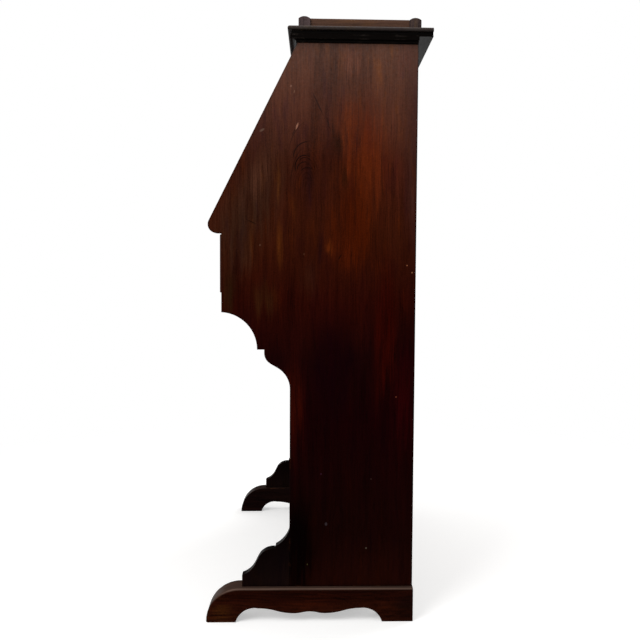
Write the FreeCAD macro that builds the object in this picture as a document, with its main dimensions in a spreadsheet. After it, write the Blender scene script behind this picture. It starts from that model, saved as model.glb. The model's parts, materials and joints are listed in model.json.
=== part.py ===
import FreeCAD, Part
import math
import os

import Sketcher

# Writing bureau: a sloping fall front over one long drawer, open shelves below, on two sled feet.
# X runs across the bureau with 0 on its middle, Y runs from the front (negative) to the back,
# Z runs up from the floor. The origin is on the floor under the middle of the overall box.
# Lengths are in millimetres and angles in degrees.

SIZES = {
    # The two sides
    "carcase_width": 735.0,
    "side_thick": 20.0,
    "carcase_depth": 369.2,
    "knee_reach": 130.4,
    "side_arris": 0.8,
    # The outline of a side below the drawer
    "knee_drop": 316.2,
    "knee_cove": 47.0,
    "knee_turn": 60.0,
    "knee_run": 15.8,
    "knee_round": 24.0,
    "knee_lip": 6.4,
    "cove_ledge": 13.5,
    "cove_reach": 3.28,
    # The slope and the writing level
    "slope_angle": 26.65,
    "slope_rise": 345.3,
    "writing_height": 766.2,
    "pivot_proud": 3.2,
    "writing_thick": 20.0,
    "nose_radius": 16.5,
    # The sled feet
    "foot_height": 65.0,
    "foot_thick": 45.0,
    "foot_proud": 12.5,
    "foot_back": 0.8,
    "toe_proud": 29.3,
    "toe_radius": 64.0,
    "foot_ovolo": 6.0,
    "foot_pad_front": 57.0,
    "foot_pad_back": 60.0,
    "foot_arch": 27.0,
    "foot_arch_corner": 38.0,
    # The brackets on the feet
    "bracket_height": 113.0,
    "bracket_step": 68.5,
    "bracket_cavetto": 42.0,
    "bracket_round": 33.0,
    "bracket_sweep": 53.0,
    "bracket_arris": 0.6,
    # The top board, its bed moulding and the gallery
    "top_thick": 16.5,
    "top_side_overhang": 18.0,
    "top_front_overhang": 23.21,
    "back_overhang": 26.0,
    "top_round": 6.0,
    "top_slab": 8.0,
    "top_step": 5.0,
    "top_band": 2.1,
    "top_neck": 2.0,
    "top_under_round": 1.5,
    "bed_height": 11.0,
    "bed_fillet": 6.7,
    "bed_foot": 2.2,
    "bed_hollow": 9.0,
    "post_height": 21.8,
    "post_width": 22.0,
    "post_thick": 18.0,
    "post_inset": 1.0,
    "post_setback": 19.7,
    "post_back": 5.0,
    "post_crown": 17.0,
    "gallery_height": 19.2,
    "gallery_thick": 10.0,
    "gallery_recess": 3.0,
    "gallery_round": 2.5,
    # The back and the open shelves
    "back_thick": 10.0,
    "back_inset": 2.0,
    "back_bottom": 84.0,
    "back_joint": 0.6,
    "back_board_count": 3,
    "shelf_thick": 18.0,
    "shelf_setback": 5.0,
    "shelf_lower_height": 98.0,
    "shelf_upper_height": 338.0,
    "shelf_round": 3.0,
    "plinth_thick": 18.0,
    "plinth_setback": 16.0,
    # The drawer space and its rails
    "rail_height": 43.0,
    "rail_depth": 24.0,
    "dust_thick": 10.0,
    "runner_width": 48.0,
    "divider_thick": 14.0,
    "slide_gap": 0.4,
    "end_gap": 0.3,
    # The lopers
    "loper_thick": 20.0,
    "loper_back_gap": 31.5,
    "lip_proud": 4.3,
    "lip_overlap": 6.0,
    "lip_round": 1.8,
    "lip_joint": 0.8,
    "lip_top_gap": 1.8,
    # The long drawer
    "drawer_front_thick": 20.0,
    "drawer_side_thick": 10.0,
    "drawer_back_thick": 9.0,
    "drawer_bottom_thick": 6.0,
    "drawer_bottom_rise": 8.0,
    "drawer_side_drop": 6.0,
    "drawer_back_gap": 31.5,
    # The drawer's two handles
    "handle_place": 120.0,
    "handle_span": 76.0,
    "rosette_radius": 10.0,
    "rosette_thick": 2.2,
    "post_radius": 3.2,
    "eye_reach": 13.5,
    "eye_radius": 5.0,
    "eye_bore": 1.75,
    "bail_radius": 1.7,
    "bail_overhang": 11.5,
    "bail_bend": 6.0,
    "bail_drop": 24.0,
    # The fall
    "fall_thick": 20.0,
    "top_rail_height": 28.54,
    "fall_side_gap": 1.0,
    "fall_foot_gap": 0.5,
    "fall_top_gap": 1.2,
    "fall_edge_round": 2.0,
    "cleat_width": 68.0,
    "leather_margin_side": 18.5,
    "leather_margin_foot": 48.0,
    "leather_margin_top": 56.0,
    "leather_depth": 1.0,
    "leather_thick": 0.9,
    "leather_joint": 0.3,
    "top_rail_depth": 44.0,
    "stop_depth": 15.0,
    "stop_gap": 0.5,
    # The fall's two hinges
    "hinge_inset": 48.5,
    "hinge_length": 62.0,
    "hinge_leaf": 27.0,
    "hinge_thick": 2.0,
    "knuckle_radius": 3.2,
    "knuckle_clear": 0.4,
    "hinge_pin": 1.5,
    "pin_clear": 0.06,
    "screw_head": 3.2,
    "screw_head_thick": 1.2,
    "screw_shank": 1.6,
    "screw_length": 12.0,
    "screw_pitch": 40.0,
    "screw_slot": 0.8,
    # The fall's lock and key
    "lock_width": 62.0,
    "lock_height": 42.0,
    "lock_thick": 11.0,
    "lock_wall": 1.6,
    "lock_clear": 0.3,
    "bolt_width": 16.0,
    "bolt_thick": 5.0,
    "bolt_length": 20.0,
    "bolt_throw": 8.0,
    "keep_thick": 1.2,
    "keep_width": 40.0,
    "keep_depth": 12.0,
    "key_drop": 30.0,
    "key_shank": 2.4,
    "key_bow": 10.0,
    "key_bow_hole": 6.0,
    "key_bow_thick": 3.0,
    "key_stand": 13.0,
    "key_collar": 3.8,
    "key_collar_rise": 6.5,
    "key_collar_thick": 2.2,
    "key_bit": 6.0,
    "key_bit_thick": 3.0,
    "key_bit_width": 2.0,
    "plate_radius": 11.0,
    "plate_thick": 1.0,
    # The stationery nest behind the fall
    "nest_drop": 95.3,
    "nest_setback": 56.94,
    "nest_board": 8.0,
    "nest_middle": 236.0,
    "partition_thick": 6.0,
    # The nest's two small drawers
    "small_front_thick": 9.0,
    "small_side_thick": 6.0,
    "small_bottom_thick": 4.0,
    "small_bottom_rise": 4.0,
    "small_back_gap": 18.0,
    "small_side_drop": 8.0,
    "knob_radius": 7.5,
    "knob_neck": 3.4,
    "knob_length": 15.0,
    "knob_crown": 5.25,
    "knob_base": 5.0,
    "knob_base_thick": 2.0,
    # How far a cutting piece runs past what it cuts, and the block that cuts a mitre
    "overrun": 5.0,
    "mitre_block": 44.0,
}

# The bracket's outline: shares of its length from the step to the side, and of its height.
BRACKET_SHARES = {
    "step": (0.0, 0.2),
    "cavetto": (0.268, 0.384),
    "run": (0.336, 0.497),
    "round": (0.658, 0.657),
    "flat": (0.708, 0.657),
    "rise": (0.708, 0.703),
}

# The highs and lows of a foot's underside: shares of the arch's length and of its height.
FOOT_WAVE_SHARES = ((0.155, 1.0), (0.40, 0.63), (0.505, 0.76), (0.61, 0.63), (0.855, 1.0))

# The heights of the small drawers and of the middle shelf: shares of the nest's height.
NEST_DRAWER_SHARE = 0.272
NEST_SHELF_SHARE = 0.512

X_AXIS = FreeCAD.Vector(1, 0, 0)
Y_AXIS = FreeCAD.Vector(0, 1, 0)
Z_AXIS = FreeCAD.Vector(0, 0, 1)
ARC_LEFT = 1
ARC_RIGHT = -1

document = FreeCAD.newDocument("writing_bureau")
sheet = document.addObject("Spreadsheet::Sheet", "Sizes")
for row, (alias, number) in enumerate(SIZES.items(), start=1):
    sheet.set("A%d" % row, str(number))
    sheet.setAlias("A%d" % row, alias)
document.recompute()


class Size:
    """A size, or a sum worked out from sizes: its value and the expression that gives it."""

    def __init__(self, text, value):
        self.text = text
        self.value = value

    def __add__(self, other):
        other = as_size(other)
        return Size("(%s + %s)" % (self.text, other.text), self.value + other.value)

    def __sub__(self, other):
        other = as_size(other)
        return Size("(%s - %s)" % (self.text, other.text), self.value - other.value)

    def __mul__(self, other):
        other = as_size(other)
        return Size("(%s * %s)" % (self.text, other.text), self.value * other.value)

    def __truediv__(self, other):
        other = as_size(other)
        return Size("(%s / %s)" % (self.text, other.text), self.value / other.value)

    def __neg__(self):
        return Size("(-1 * %s)" % self.text, -self.value)

    __radd__ = __add__
    __rmul__ = __mul__


def as_size(item):
    """A plain number as a size."""
    return item if isinstance(item, Size) else Size(repr(item), float(item))


def named(alias):
    """The size that the sheet keeps under this alias."""
    return Size("Sizes." + alias, float(sheet.get(alias)))


def sine(angle):
    return Size("sin(%s)" % angle.text, math.sin(math.radians(angle.value)))


def cosine(angle):
    return Size("cos(%s)" % angle.text, math.cos(math.radians(angle.value)))


def tangent(angle):
    return Size("tan(%s)" % angle.text, math.tan(math.radians(angle.value)))


def root(size):
    return Size("sqrt(%s)" % size.text, math.sqrt(size.value))


class Sheet:
    """Every named size as an attribute."""

    def __getattr__(self, alias):
        return named(alias)


S = Sheet()
ZERO = as_size(0)
QUARTER_TURN = as_size(90)
HALF_QUARTER = as_size(45)
NODES = {}

# Places that many pieces share
BACK = (S.carcase_depth + S.toe_proud - S.back_overhang) / 2
HALF = S.carcase_width / 2
INNER = HALF - S.side_thick
FRONT = BACK - S.carcase_depth
TOE = FRONT - S.toe_proud
BASE_FRONT = FRONT + S.knee_reach
LIP_FACE = FRONT - S.lip_proud
BACK_FACE = BACK - S.back_inset - S.back_thick
PIVOT_Y = FRONT - S.pivot_proud
PIVOT_Z = S.writing_height
CARCASE_TOP = PIVOT_Z + S.slope_rise
BOARD_UNDER = S.writing_height - S.writing_thick
SLOPE_SINE = sine(S.slope_angle)
SLOPE_COSINE = cosine(S.slope_angle)
SLOPE_TILT = QUARTER_TURN - S.slope_angle
KNEE_HEIGHT = S.writing_height - S.knee_drop
COVE_Y = BASE_FRONT - S.knee_cove
KNEE_TOP_Y = COVE_Y + S.knee_cove * cosine(S.knee_turn) - S.knee_run * sine(S.knee_turn)
KNEE_TOP_Z = KNEE_HEIGHT + S.knee_cove * sine(S.knee_turn) + S.knee_run * cosine(S.knee_turn)
ROUND_Y = KNEE_TOP_Y + S.knee_round * cosine(S.knee_turn) - S.knee_round
ROUND_Z = KNEE_TOP_Z + S.knee_round * sine(S.knee_turn)
LEDGE_Z = ROUND_Z + S.knee_lip
LEDGE_Y = ROUND_Y - S.cove_ledge
COVE_RADIUS = LEDGE_Y - FRONT + S.cove_reach
COVE_TOP_Z = LEDGE_Z + root(COVE_RADIUS * COVE_RADIUS - S.cove_reach * S.cove_reach)
RUNNER_TOP = COVE_TOP_Z + S.rail_height
LIP_BOTTOM = RUNNER_TOP - S.lip_overlap
LIP_TOP = BOARD_UNDER - S.lip_top_gap
TOP_FACE = CARCASE_TOP + S.top_thick



def slope_y(height, outward):
    """Where a face of the slope stands at this height, so far out from the fall's inner face."""
    face_y = PIVOT_Y - outward * SLOPE_COSINE
    face_z = PIVOT_Z + outward * SLOPE_SINE
    return face_y + (height - face_z) * tangent(S.slope_angle)


# Places at the top of the slope
SLOPE_TOP = slope_y(CARCASE_TOP, S.fall_thick)
TOP_FRONT = SLOPE_TOP - S.top_front_overhang
BED_FRONT = TOP_FRONT + S.top_step
FALL_LENGTH = S.slope_rise / SLOPE_COSINE - S.top_rail_height - S.fall_top_gap

# Places in the lock, the drawer space and the nest
BOLT_OUT = (S.lock_thick - S.bolt_thick) / 2
KEEP_OUT = BOLT_OUT + (S.bolt_thick - S.keep_depth) / 2
KEY_UP = FALL_LENGTH - S.key_drop
DIVIDER_OUT = INNER - S.loper_thick - S.slide_gap * 2
DIVIDER_IN = DIVIDER_OUT - S.divider_thick
DRAWER_HALF = DIVIDER_IN - S.slide_gap
LIP_HALF = (DIVIDER_OUT + DIVIDER_IN) / 2 - S.lip_joint / 2
DRAWER_LOW = RUNNER_TOP + S.end_gap
FRONT_BACK = LIP_FACE + S.drawer_front_thick
FALL_HALF = INNER - S.fall_side_gap
CLEAT_JOINT = FALL_HALF - S.cleat_width
HINGE_PLACE = CLEAT_JOINT - S.hinge_inset
HANDLE_Z = (LIP_TOP + LIP_BOTTOM) / 2 + S.bail_drop / 2
EYE_Y = LIP_FACE - S.eye_reach
NEST_TOP = CARCASE_TOP - S.nest_drop
NEST_HEIGHT = S.slope_rise - S.nest_drop
NEST_Y = slope_y(NEST_TOP, ZERO) + S.nest_setback
NEST_DEPTH = BACK_FACE - NEST_Y
NEST_DRAWER_TOP = PIVOT_Z + NEST_HEIGHT * NEST_DRAWER_SHARE
NEST_SHELF_Z = PIVOT_Z + NEST_HEIGHT * NEST_SHELF_SHARE
NEST_BAY_IN = S.nest_middle / 2 + S.nest_board
NEST_BAY_OUT = INNER - S.nest_board


def fall_point(along, outward):
    """A point of the closed fall, from its distance up the slope and out from its inner face."""
    y = PIVOT_Y + along * SLOPE_SINE - outward * SLOPE_COSINE
    z = PIVOT_Z + along * SLOPE_COSINE + outward * SLOPE_SINE
    return y, z


def keep(label, item):
    """Names a finished sub-part and lists it for the files."""
    item.Label = label
    NODES[label] = item
    return item


def place(item, x, y, z, axis=None, angle=None):
    """Binds an object's place, and its turn about an axis where it has one."""
    if axis is not None:
        item.Placement = FreeCAD.Placement(FreeCAD.Vector(), FreeCAD.Rotation(axis, angle.value))
        item.setExpression("Placement.Rotation.Angle", angle.text)
    item.setExpression("Placement.Base.x", as_size(x).text)
    item.setExpression("Placement.Base.y", as_size(y).text)
    item.setExpression("Placement.Base.z", as_size(z).text)
    return item


def block(x, y, z, across, deep, high, axis=None, angle=None):
    """A rectangular piece from its low corner and its three sizes."""
    item = document.addObject("Part::Box", "Block")
    item.setExpression("Length", as_size(across).text)
    item.setExpression("Width", as_size(deep).text)
    item.setExpression("Height", as_size(high).text)
    return place(item, x, y, z, axis, angle)


def fall_block(x, along, outward, across, up, thick):
    """A rectangular piece that lies in the closed fall's own directions."""
    y, z = fall_point(along, outward)
    return block(x, y, z, across, up, thick, X_AXIS, SLOPE_TILT)


def rod(x, y, z, radius, length, axis=None, angle=None):
    """A round piece that stands on the given point and runs along Z before its turn."""
    item = document.addObject("Part::Cylinder", "Rod")
    item.setExpression("Radius", as_size(radius).text)
    item.setExpression("Height", as_size(length).text)
    return place(item, x, y, z, axis, angle)


def rod_across(x, y, z, radius, length):
    """A round piece along X."""
    return rod(x, y, z, radius, length, Y_AXIS, QUARTER_TURN)


def rod_forward(x, y, z, radius, length):
    """A round piece that points to the front."""
    return rod(x, y, z, radius, length, X_AXIS, QUARTER_TURN)


def fall_rod(x, along, outward, radius, length):
    """A round piece that stands square on the closed fall."""
    y, z = fall_point(along, outward)
    return rod(x, y, z, radius, length, X_AXIS, SLOPE_TILT)


def fuse(*pieces):
    item = document.addObject("Part::MultiFuse", "Join")
    item.Shapes = list(pieces)
    return item


def cut(base, *tools):
    item = document.addObject("Part::Cut", "Cut")
    item.Base = base
    item.Tool = tools[0] if len(tools) == 1 else fuse(*tools)
    return item


def group(*pieces):
    """Separate solids that make one node."""
    item = document.addObject("Part::Compound", "Group")
    item.Links = list(pieces)
    return item


def arc_centre(start, end, radius, side):
    """The centre of the shorter arc between two points, on the left or right of the way along."""
    middle = (start + end) * 0.5
    half = (end - start) * 0.5
    rise = math.sqrt(max(radius * radius - half.Length * half.Length, 0.0))
    left = FreeCAD.Vector(-half.y, half.x, 0).normalize()
    return middle + left * (rise * side)


def draw(body, plane, outline, offset=ZERO, closed=True):
    """A sketch on one of the body's planes.

    The outline is a list of corners. A corner is (across, up), or (across, up, radius, side)
    where an arc leads from it to the next corner with its centre on that side.
    """
    sketch = body.newObject("Sketcher::SketchObject", "Outline")
    support = [item for item in body.Origin.OriginFeatures if item.Role == plane][0]
    sketch.AttachmentSupport = [(support, "")]
    sketch.MapMode = "FlatFace"
    sketch.setExpression("AttachmentOffset.Base.z", offset.text)
    corners = [FreeCAD.Vector(as_size(c[0]).value, as_size(c[1]).value, 0) for c in outline]
    first_ends = []
    count = len(outline)
    pieces = count if closed else count - 1
    for index, corner in enumerate(outline[:pieces]):
        start = corners[index]
        end = corners[(index + 1) % count]
        if len(corner) == 2:
            sketch.addGeometry(Part.LineSegment(start, end))
            first_ends.append((1, 2))
            continue
        radius, side = corner[2], corner[3]
        centre = arc_centre(start, end, radius.value, side)
        first, last = (start, end) if side == ARC_LEFT else (end, start)
        angles = [math.atan2(p.y - centre.y, p.x - centre.x) for p in (first, last)]
        circle = Part.Circle(centre, Z_AXIS, radius.value)
        sketch.addGeometry(Part.ArcOfCircle(circle, angles[0], angles[1]))
        first_ends.append((1, 2) if side == ARC_LEFT else (2, 1))
    for index in range(pieces if closed else pieces - 1):
        following = (index + 1) % count
        sketch.addConstraint(
            Sketcher.Constraint(
                "Coincident", index, first_ends[index][1], following, first_ends[following][0]
            )
        )
    for index, corner in enumerate(outline):
        piece = min(index, pieces - 1)
        end = first_ends[piece][0] if index < pieces else first_ends[piece][1]
        for kind, size in zip(("DistanceX", "DistanceY"), corner[:2]):
            size = as_size(size)
            number = sketch.addConstraint(Sketcher.Constraint(kind, piece, end, size.value))
            sketch.setExpression("Constraints[%d]" % number, size.text)
        if len(corner) > 2:
            number = sketch.addConstraint(
                Sketcher.Constraint("Radius", index, corner[2].value)
            )
            sketch.setExpression("Constraints[%d]" % number, corner[2].text)
    return sketch


def pad(body, plane, outline, length, offset=ZERO):
    """Draws an outline and thickens it along the plane's normal."""
    feature = body.newObject("PartDesign::Pad", "Thick")
    feature.Profile = draw(body, plane, outline, offset)
    feature.setExpression("Length", length.text)
    document.recompute()
    return feature


def new_body(label):
    return document.addObject("PartDesign::Body", label)


def soften(body, size, wanted, kind="Fillet"):
    """Rounds or chamfers the edges that the test picks out by their middle and their two ends."""
    base = body.Tip
    names = []
    for number, edge in enumerate(base.Shape.Edges, start=1):
        ends = [vertex.Point for vertex in edge.Vertexes]
        middle = edge.valueAt((edge.FirstParameter + edge.LastParameter) / 2)
        if len(ends) == 2 and wanted(middle, ends):
            names.append("Edge%d" % number)
    feature = body.newObject("PartDesign::" + kind, "Soft")
    feature.Base = (base, names)
    feature.setExpression("Radius" if kind == "Fillet" else "Size", size.text)
    document.recompute()
    return feature


def near(value, target, within=0.01):
    return abs(as_size(value).value - as_size(target).value) < within


def rectangle(low_x, low_y, high_x, high_y):
    return [(low_x, low_y), (high_x, low_y), (high_x, high_y), (low_x, high_y)]


def side_outline():
    """A side seen from the right: up the back, down the slope, round the nose and the knee."""
    nose_z = BOARD_UNDER + S.nose_radius
    outer_y, outer_z = fall_point(ZERO, S.fall_thick)
    nose_y = outer_y + (S.nose_radius + (nose_z - outer_z) * SLOPE_SINE) / SLOPE_COSINE
    tangent_y = nose_y - S.nose_radius * SLOPE_COSINE
    tangent_z = nose_z + S.nose_radius * SLOPE_SINE
    cove_low_y = COVE_Y + S.knee_cove * cosine(S.knee_turn)
    cove_low_z = KNEE_HEIGHT + S.knee_cove * sine(S.knee_turn)
    return [
        (BACK, S.foot_height),
        (BACK, CARCASE_TOP),
        (SLOPE_TOP, CARCASE_TOP),
        (tangent_y, tangent_z, S.nose_radius, ARC_LEFT),
        (nose_y, BOARD_UNDER),
        (FRONT, BOARD_UNDER),
        (FRONT, COVE_TOP_Z, COVE_RADIUS, ARC_RIGHT),
        (LEDGE_Y, LEDGE_Z),
        (ROUND_Y, LEDGE_Z),
        (ROUND_Y, ROUND_Z, S.knee_round, ARC_LEFT),
        (KNEE_TOP_Y, KNEE_TOP_Z),
        (cove_low_y, cove_low_z, S.knee_cove, ARC_RIGHT),
        (BASE_FRONT, KNEE_HEIGHT),
        (BASE_FRONT, S.foot_height),
    ]


def make_side(label, low_x):
    """A side board, with the arris taken off its long front edges."""
    body = new_body(label)
    pad(body, "YZ_Plane", side_outline(), S.side_thick)

    def front_edge(middle, ends):
        square = near(middle.z, CARCASE_TOP) or near(middle.y, BACK) or near(middle.z, S.foot_height)
        return near(ends[0].x, ends[1].x) and not square

    soften(body, S.side_arris, front_edge, "Chamfer")
    place(body, low_x, ZERO, ZERO)
    return keep(label, body)


def foot_wave(start_y, end_y):
    """The scalloped underside of a foot, as pairs of equal arcs between its highs and lows."""
    length = end_y - start_y
    points = [
        (start_y + length * along, S.foot_arch * rise) for along, rise in FOOT_WAVE_SHARES
    ]
    corners = []
    for (y_one, z_one), (y_two, z_two) in zip(points, points[1:]):
        half_y = (y_two - y_one) / 2
        half_z = (z_two - z_one) / 2
        falling = half_z.value < 0
        height = -half_z if falling else half_z
        radius = (half_y * half_y + half_z * half_z) / (height * 2)
        first, second = (ARC_RIGHT, ARC_LEFT) if falling else (ARC_LEFT, ARC_RIGHT)
        corners.append((y_one, z_one, radius, first))
        corners.append((y_one + half_y, z_one + half_z, radius, second))
    last_y, last_z = points[-1]
    corners.append((last_y, last_z, S.foot_arch_corner, ARC_RIGHT))
    return corners


def make_foot(label, low_x, outer_x):
    """A sled foot: a rounded toe, a scalloped underside and an ovolo along its outer top edge."""
    body = new_body(label)
    toe = TOE
    heel = BACK + S.foot_back
    arch_front = toe + S.foot_pad_front
    arch_back = heel - S.foot_pad_back
    toe_foot = S.foot_height - S.toe_radius
    outline = [
        (toe, ZERO),
        (arch_front, ZERO, S.foot_arch_corner, ARC_RIGHT),
        *foot_wave(arch_front, arch_back),
        (arch_back, ZERO),
        (heel, ZERO),
        (heel, S.foot_height),
        (toe + S.toe_radius, S.foot_height, S.toe_radius, ARC_LEFT),
        (toe, toe_foot),
    ]
    pad(body, "YZ_Plane", outline, S.foot_thick)

    def outer_top(middle, ends):
        outside = near(middle.x, outer_x - low_x)
        on_top = near(middle.z, S.foot_height)
        on_toe = middle.y < (toe + S.toe_radius).value and max(end.z for end in ends) > toe_foot.value
        return outside and (on_top or (on_toe and middle.z > toe_foot.value))

    soften(body, S.foot_ovolo, outer_top)
    place(body, low_x, ZERO, ZERO)
    return keep(label, body)


def make_bracket(label, low_x):
    """The shaped bracket between a foot and the front edge of its side."""
    body = new_body(label)
    start = TOE + S.bracket_step
    side_y = BASE_FRONT
    length = side_y - start

    def corner(name):
        along, rise = BRACKET_SHARES[name]
        return start + length * along, S.foot_height + S.bracket_height * rise

    outline = [
        (side_y, S.foot_height),
        (side_y, S.foot_height + S.bracket_height, S.bracket_sweep, ARC_RIGHT),
        corner("rise"),
        corner("flat"),
        (*corner("round"), S.bracket_round, ARC_LEFT),
        corner("run"),
        (*corner("cavetto"), S.bracket_cavetto, ARC_RIGHT),
        corner("step"),
        (start, S.foot_height),
    ]
    pad(body, "YZ_Plane", outline, S.side_thick)

    def shaped_edge(middle, ends):
        square = near(middle.y, side_y) or near(middle.z, S.foot_height)
        return near(ends[0].x, ends[1].x) and not square

    soften(body, S.bracket_arris, shaped_edge, "Chamfer")
    place(body, low_x, ZERO, ZERO)
    return keep(label, body)


def make_top_board():
    """The top: a slab with a rounded upper edge, a neck and a narrower band, and a square back."""
    body = new_body("top_board")
    half = HALF + S.top_side_overhang
    front = TOP_FRONT
    back = BACK + S.back_overhang
    step = S.top_step
    neck = step + S.top_neck
    slab_low = TOP_FACE - S.top_slab
    neck_low = CARCASE_TOP + S.top_band
    band = rectangle(step - half, front + step, half - step, back)
    slim = rectangle(neck - half, front + neck, half - neck, back)
    full = rectangle(-half, front, half, back)
    pad(body, "XY_Plane", band, S.top_band, CARCASE_TOP)
    pad(body, "XY_Plane", slim, slab_low - neck_low, neck_low)
    pad(body, "XY_Plane", full, S.top_slab, slab_low)

    def slab_foot(middle, ends):
        outer = near(abs(middle.x), half) or near(middle.y, front)
        return near(middle.z, slab_low) and outer

    soften(body, S.top_round, lambda middle, ends: near(middle.z, TOP_FACE) and not near(middle.y, back))
    soften(body, S.top_under_round, slab_foot)
    return keep("top_board", body)


def bed_section(inner_low, inner_high, outer, outward):
    """The bed moulding's section: a fillet, a hollow and a smaller fillet at its foot.

    Its back stands at inner_low at the foot and at inner_high at the top, and its front at
    outer; outward is 1 where the front lies on the greater side and -1 on the lesser.
    """
    foot_z = CARCASE_TOP - S.bed_height
    hollow_top = CARCASE_TOP - S.bed_fillet
    foot_out = inner_low + S.bed_foot * outward
    foot_top = foot_z + S.bed_foot
    side = ARC_RIGHT if outward > 0 else ARC_LEFT
    return [
        (inner_low, foot_z),
        (foot_out, foot_z),
        (foot_out, foot_top, S.bed_hollow, side),
        (outer, hollow_top),
        (outer, CARCASE_TOP),
        (inner_high, CARCASE_TOP),
    ]


def make_bed_moulding():
    """Three lengths under the top board, mitred at the two front corners."""
    corner_x = HALF + S.top_side_overhang - S.top_step
    corner_y = BED_FRONT
    foot_z = CARCASE_TOP - S.bed_height
    front = new_body("bed_front")
    section = bed_section(slope_y(foot_z, S.fall_thick), SLOPE_TOP, corner_y, -1)
    pad(front, "YZ_Plane", section, corner_x * 2)
    place(front, -corner_x, ZERO, ZERO)
    right = new_body("bed_right")
    pad(right, "XZ_Plane", bed_section(HALF, HALF, corner_x, 1), BACK - corner_y)
    place(right, ZERO, BACK, ZERO)
    reach = S.mitre_block
    high = S.bed_height + S.overrun * 2
    low_z = foot_z - S.overrun
    start_x = corner_x + S.overrun
    start_y = corner_y - S.overrun
    beyond = block(start_x, start_y, low_z, reach, reach, high, Z_AXIS, HALF_QUARTER)
    shift = reach * cosine(HALF_QUARTER)
    before = block(start_x - shift, start_y - shift, low_z, reach, reach, high, Z_AXIS, HALF_QUARTER)
    right_length = cut(right, before)
    front_length = cut(front, beyond, mirrored(beyond))
    return keep("bed_moulding", group(front_length, right_length, mirrored(right_length)))


def mirrored(source):
    """The same piece on the other side of the bureau."""
    item = document.addObject("Part::Mirroring", "Mirror")
    item.Source = source
    item.Normal = X_AXIS
    return item


def make_gallery():
    """Four arched corner posts and the three rails between them."""
    outer = HALF - S.post_inset
    crown_rise = S.post_crown - root(
        S.post_crown * S.post_crown - S.post_width * S.post_width / 4
    )
    shoulder = TOP_FACE + S.post_height - crown_rise
    front_low = TOP_FRONT + S.post_setback
    back_low = BACK + S.post_back - S.post_width
    posts = []
    for low_y in (front_low, back_low):
        high_y = low_y + S.post_width
        for low_x in (outer - S.post_thick, -outer):
            body = new_body("gallery_post")
            outline = [
                (low_y, TOP_FACE),
                (high_y, TOP_FACE),
                (high_y, shoulder, S.post_crown, ARC_LEFT),
                (low_y, shoulder),
            ]
            pad(body, "YZ_Plane", outline, S.post_thick)
            place(body, low_x, ZERO, ZERO)
            posts.append(body)
    keep("gallery_posts", group(*posts))
    rail_top = TOP_FACE + S.gallery_height
    rail_outer = outer - S.gallery_recess
    for label, low_x in (("right", rail_outer - S.gallery_thick), ("left", -rail_outer)):
        body = new_body("gallery_rail")
        start_y = front_low + S.post_width
        outline = rectangle(low_x, TOP_FACE, low_x + S.gallery_thick, rail_top)
        pad(body, "XZ_Plane", outline, back_low - start_y)
        soften(body, S.gallery_round, lambda middle, ends: near(middle.z, rail_top) and not_across(ends))
        place(body, ZERO, back_low, ZERO)
        keep("gallery_rail_" + label, body)
    body = new_body("gallery_rail")
    low_y = back_low + (S.post_width - S.gallery_thick) / 2
    half = outer - S.post_thick
    outline = rectangle(low_y, TOP_FACE, low_y + S.gallery_thick, rail_top)
    pad(body, "YZ_Plane", outline, half * 2)
    soften(body, S.gallery_round, lambda middle, ends: near(middle.z, rail_top) and not_deep(ends))
    place(body, -half, ZERO, ZERO)
    keep("gallery_rail_back", body)


def not_across(ends):
    """True for an edge that doesn't run along X."""
    return abs(ends[0].x - ends[1].x) < abs(ends[0].y - ends[1].y)


def not_deep(ends):
    """True for an edge that doesn't run along Y."""
    return abs(ends[0].y - ends[1].y) < abs(ends[0].x - ends[1].x)


def make_back():
    """Upright boards between the sides, with a hairline joint between them."""
    count = int(S.back_board_count.value)
    width = (INNER * 2 - S.back_joint * (count - 1)) / count
    height = CARCASE_TOP - S.back_bottom
    boards = [
        block(-INNER + (width + S.back_joint) * number, BACK_FACE, S.back_bottom,
              width, S.back_thick, height)
        for number in range(count)
    ]
    return keep("back_boards", group(*boards))


def make_shelf(label, height):
    """An open shelf between the sides, with a rounded front edge."""
    body = new_body(label)
    front = BASE_FRONT + S.shelf_setback
    pad(body, "XY_Plane", rectangle(-INNER, front, INNER, BACK_FACE), S.shelf_thick, height)
    soften(body, S.shelf_round, lambda middle, ends: near(middle.y, front) and not_deep(ends))
    return keep(label, body)


def make_plinth():
    """The rail that closes the space under the lower shelf."""
    front = BASE_FRONT + S.plinth_setback
    height = S.shelf_lower_height - S.foot_height
    return keep("plinth_rail", block(-INNER, front, S.foot_height, INNER * 2, S.plinth_thick, height))


def make_top_rail():
    """The rail above the fall: its face follows the slope, and its back lip stops the fall."""
    body = new_body("top_rail_blank")
    above = FALL_LENGTH + S.fall_top_gap
    back_y = SLOPE_TOP + S.top_rail_depth
    stop_y, stop_z = fall_point(FALL_LENGTH - S.stop_depth, -S.stop_gap)
    outline = [
        (SLOPE_TOP, CARCASE_TOP),
        fall_point(above, S.fall_thick),
        fall_point(above, -S.stop_gap),
        (stop_y, stop_z),
        (back_y, stop_z),
        (back_y, CARCASE_TOP),
    ]
    pad(body, "YZ_Plane", outline, INNER * 2)
    place(body, -INNER, ZERO, ZERO)
    pocket = fall_block(
        -(S.bolt_width / 2 + S.lock_clear), above - S.overrun, BOLT_OUT - S.lock_clear,
        S.bolt_width + S.lock_clear * 2, S.bolt_throw + S.overrun * 2,
        S.bolt_thick + S.lock_clear * 2,
    )
    seat = fall_block(
        -S.keep_width / 2, above - S.overrun, KEEP_OUT,
        S.keep_width, S.keep_thick + S.overrun, S.keep_depth,
    )
    return keep("top_rail", cut(body, pocket, seat))


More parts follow.
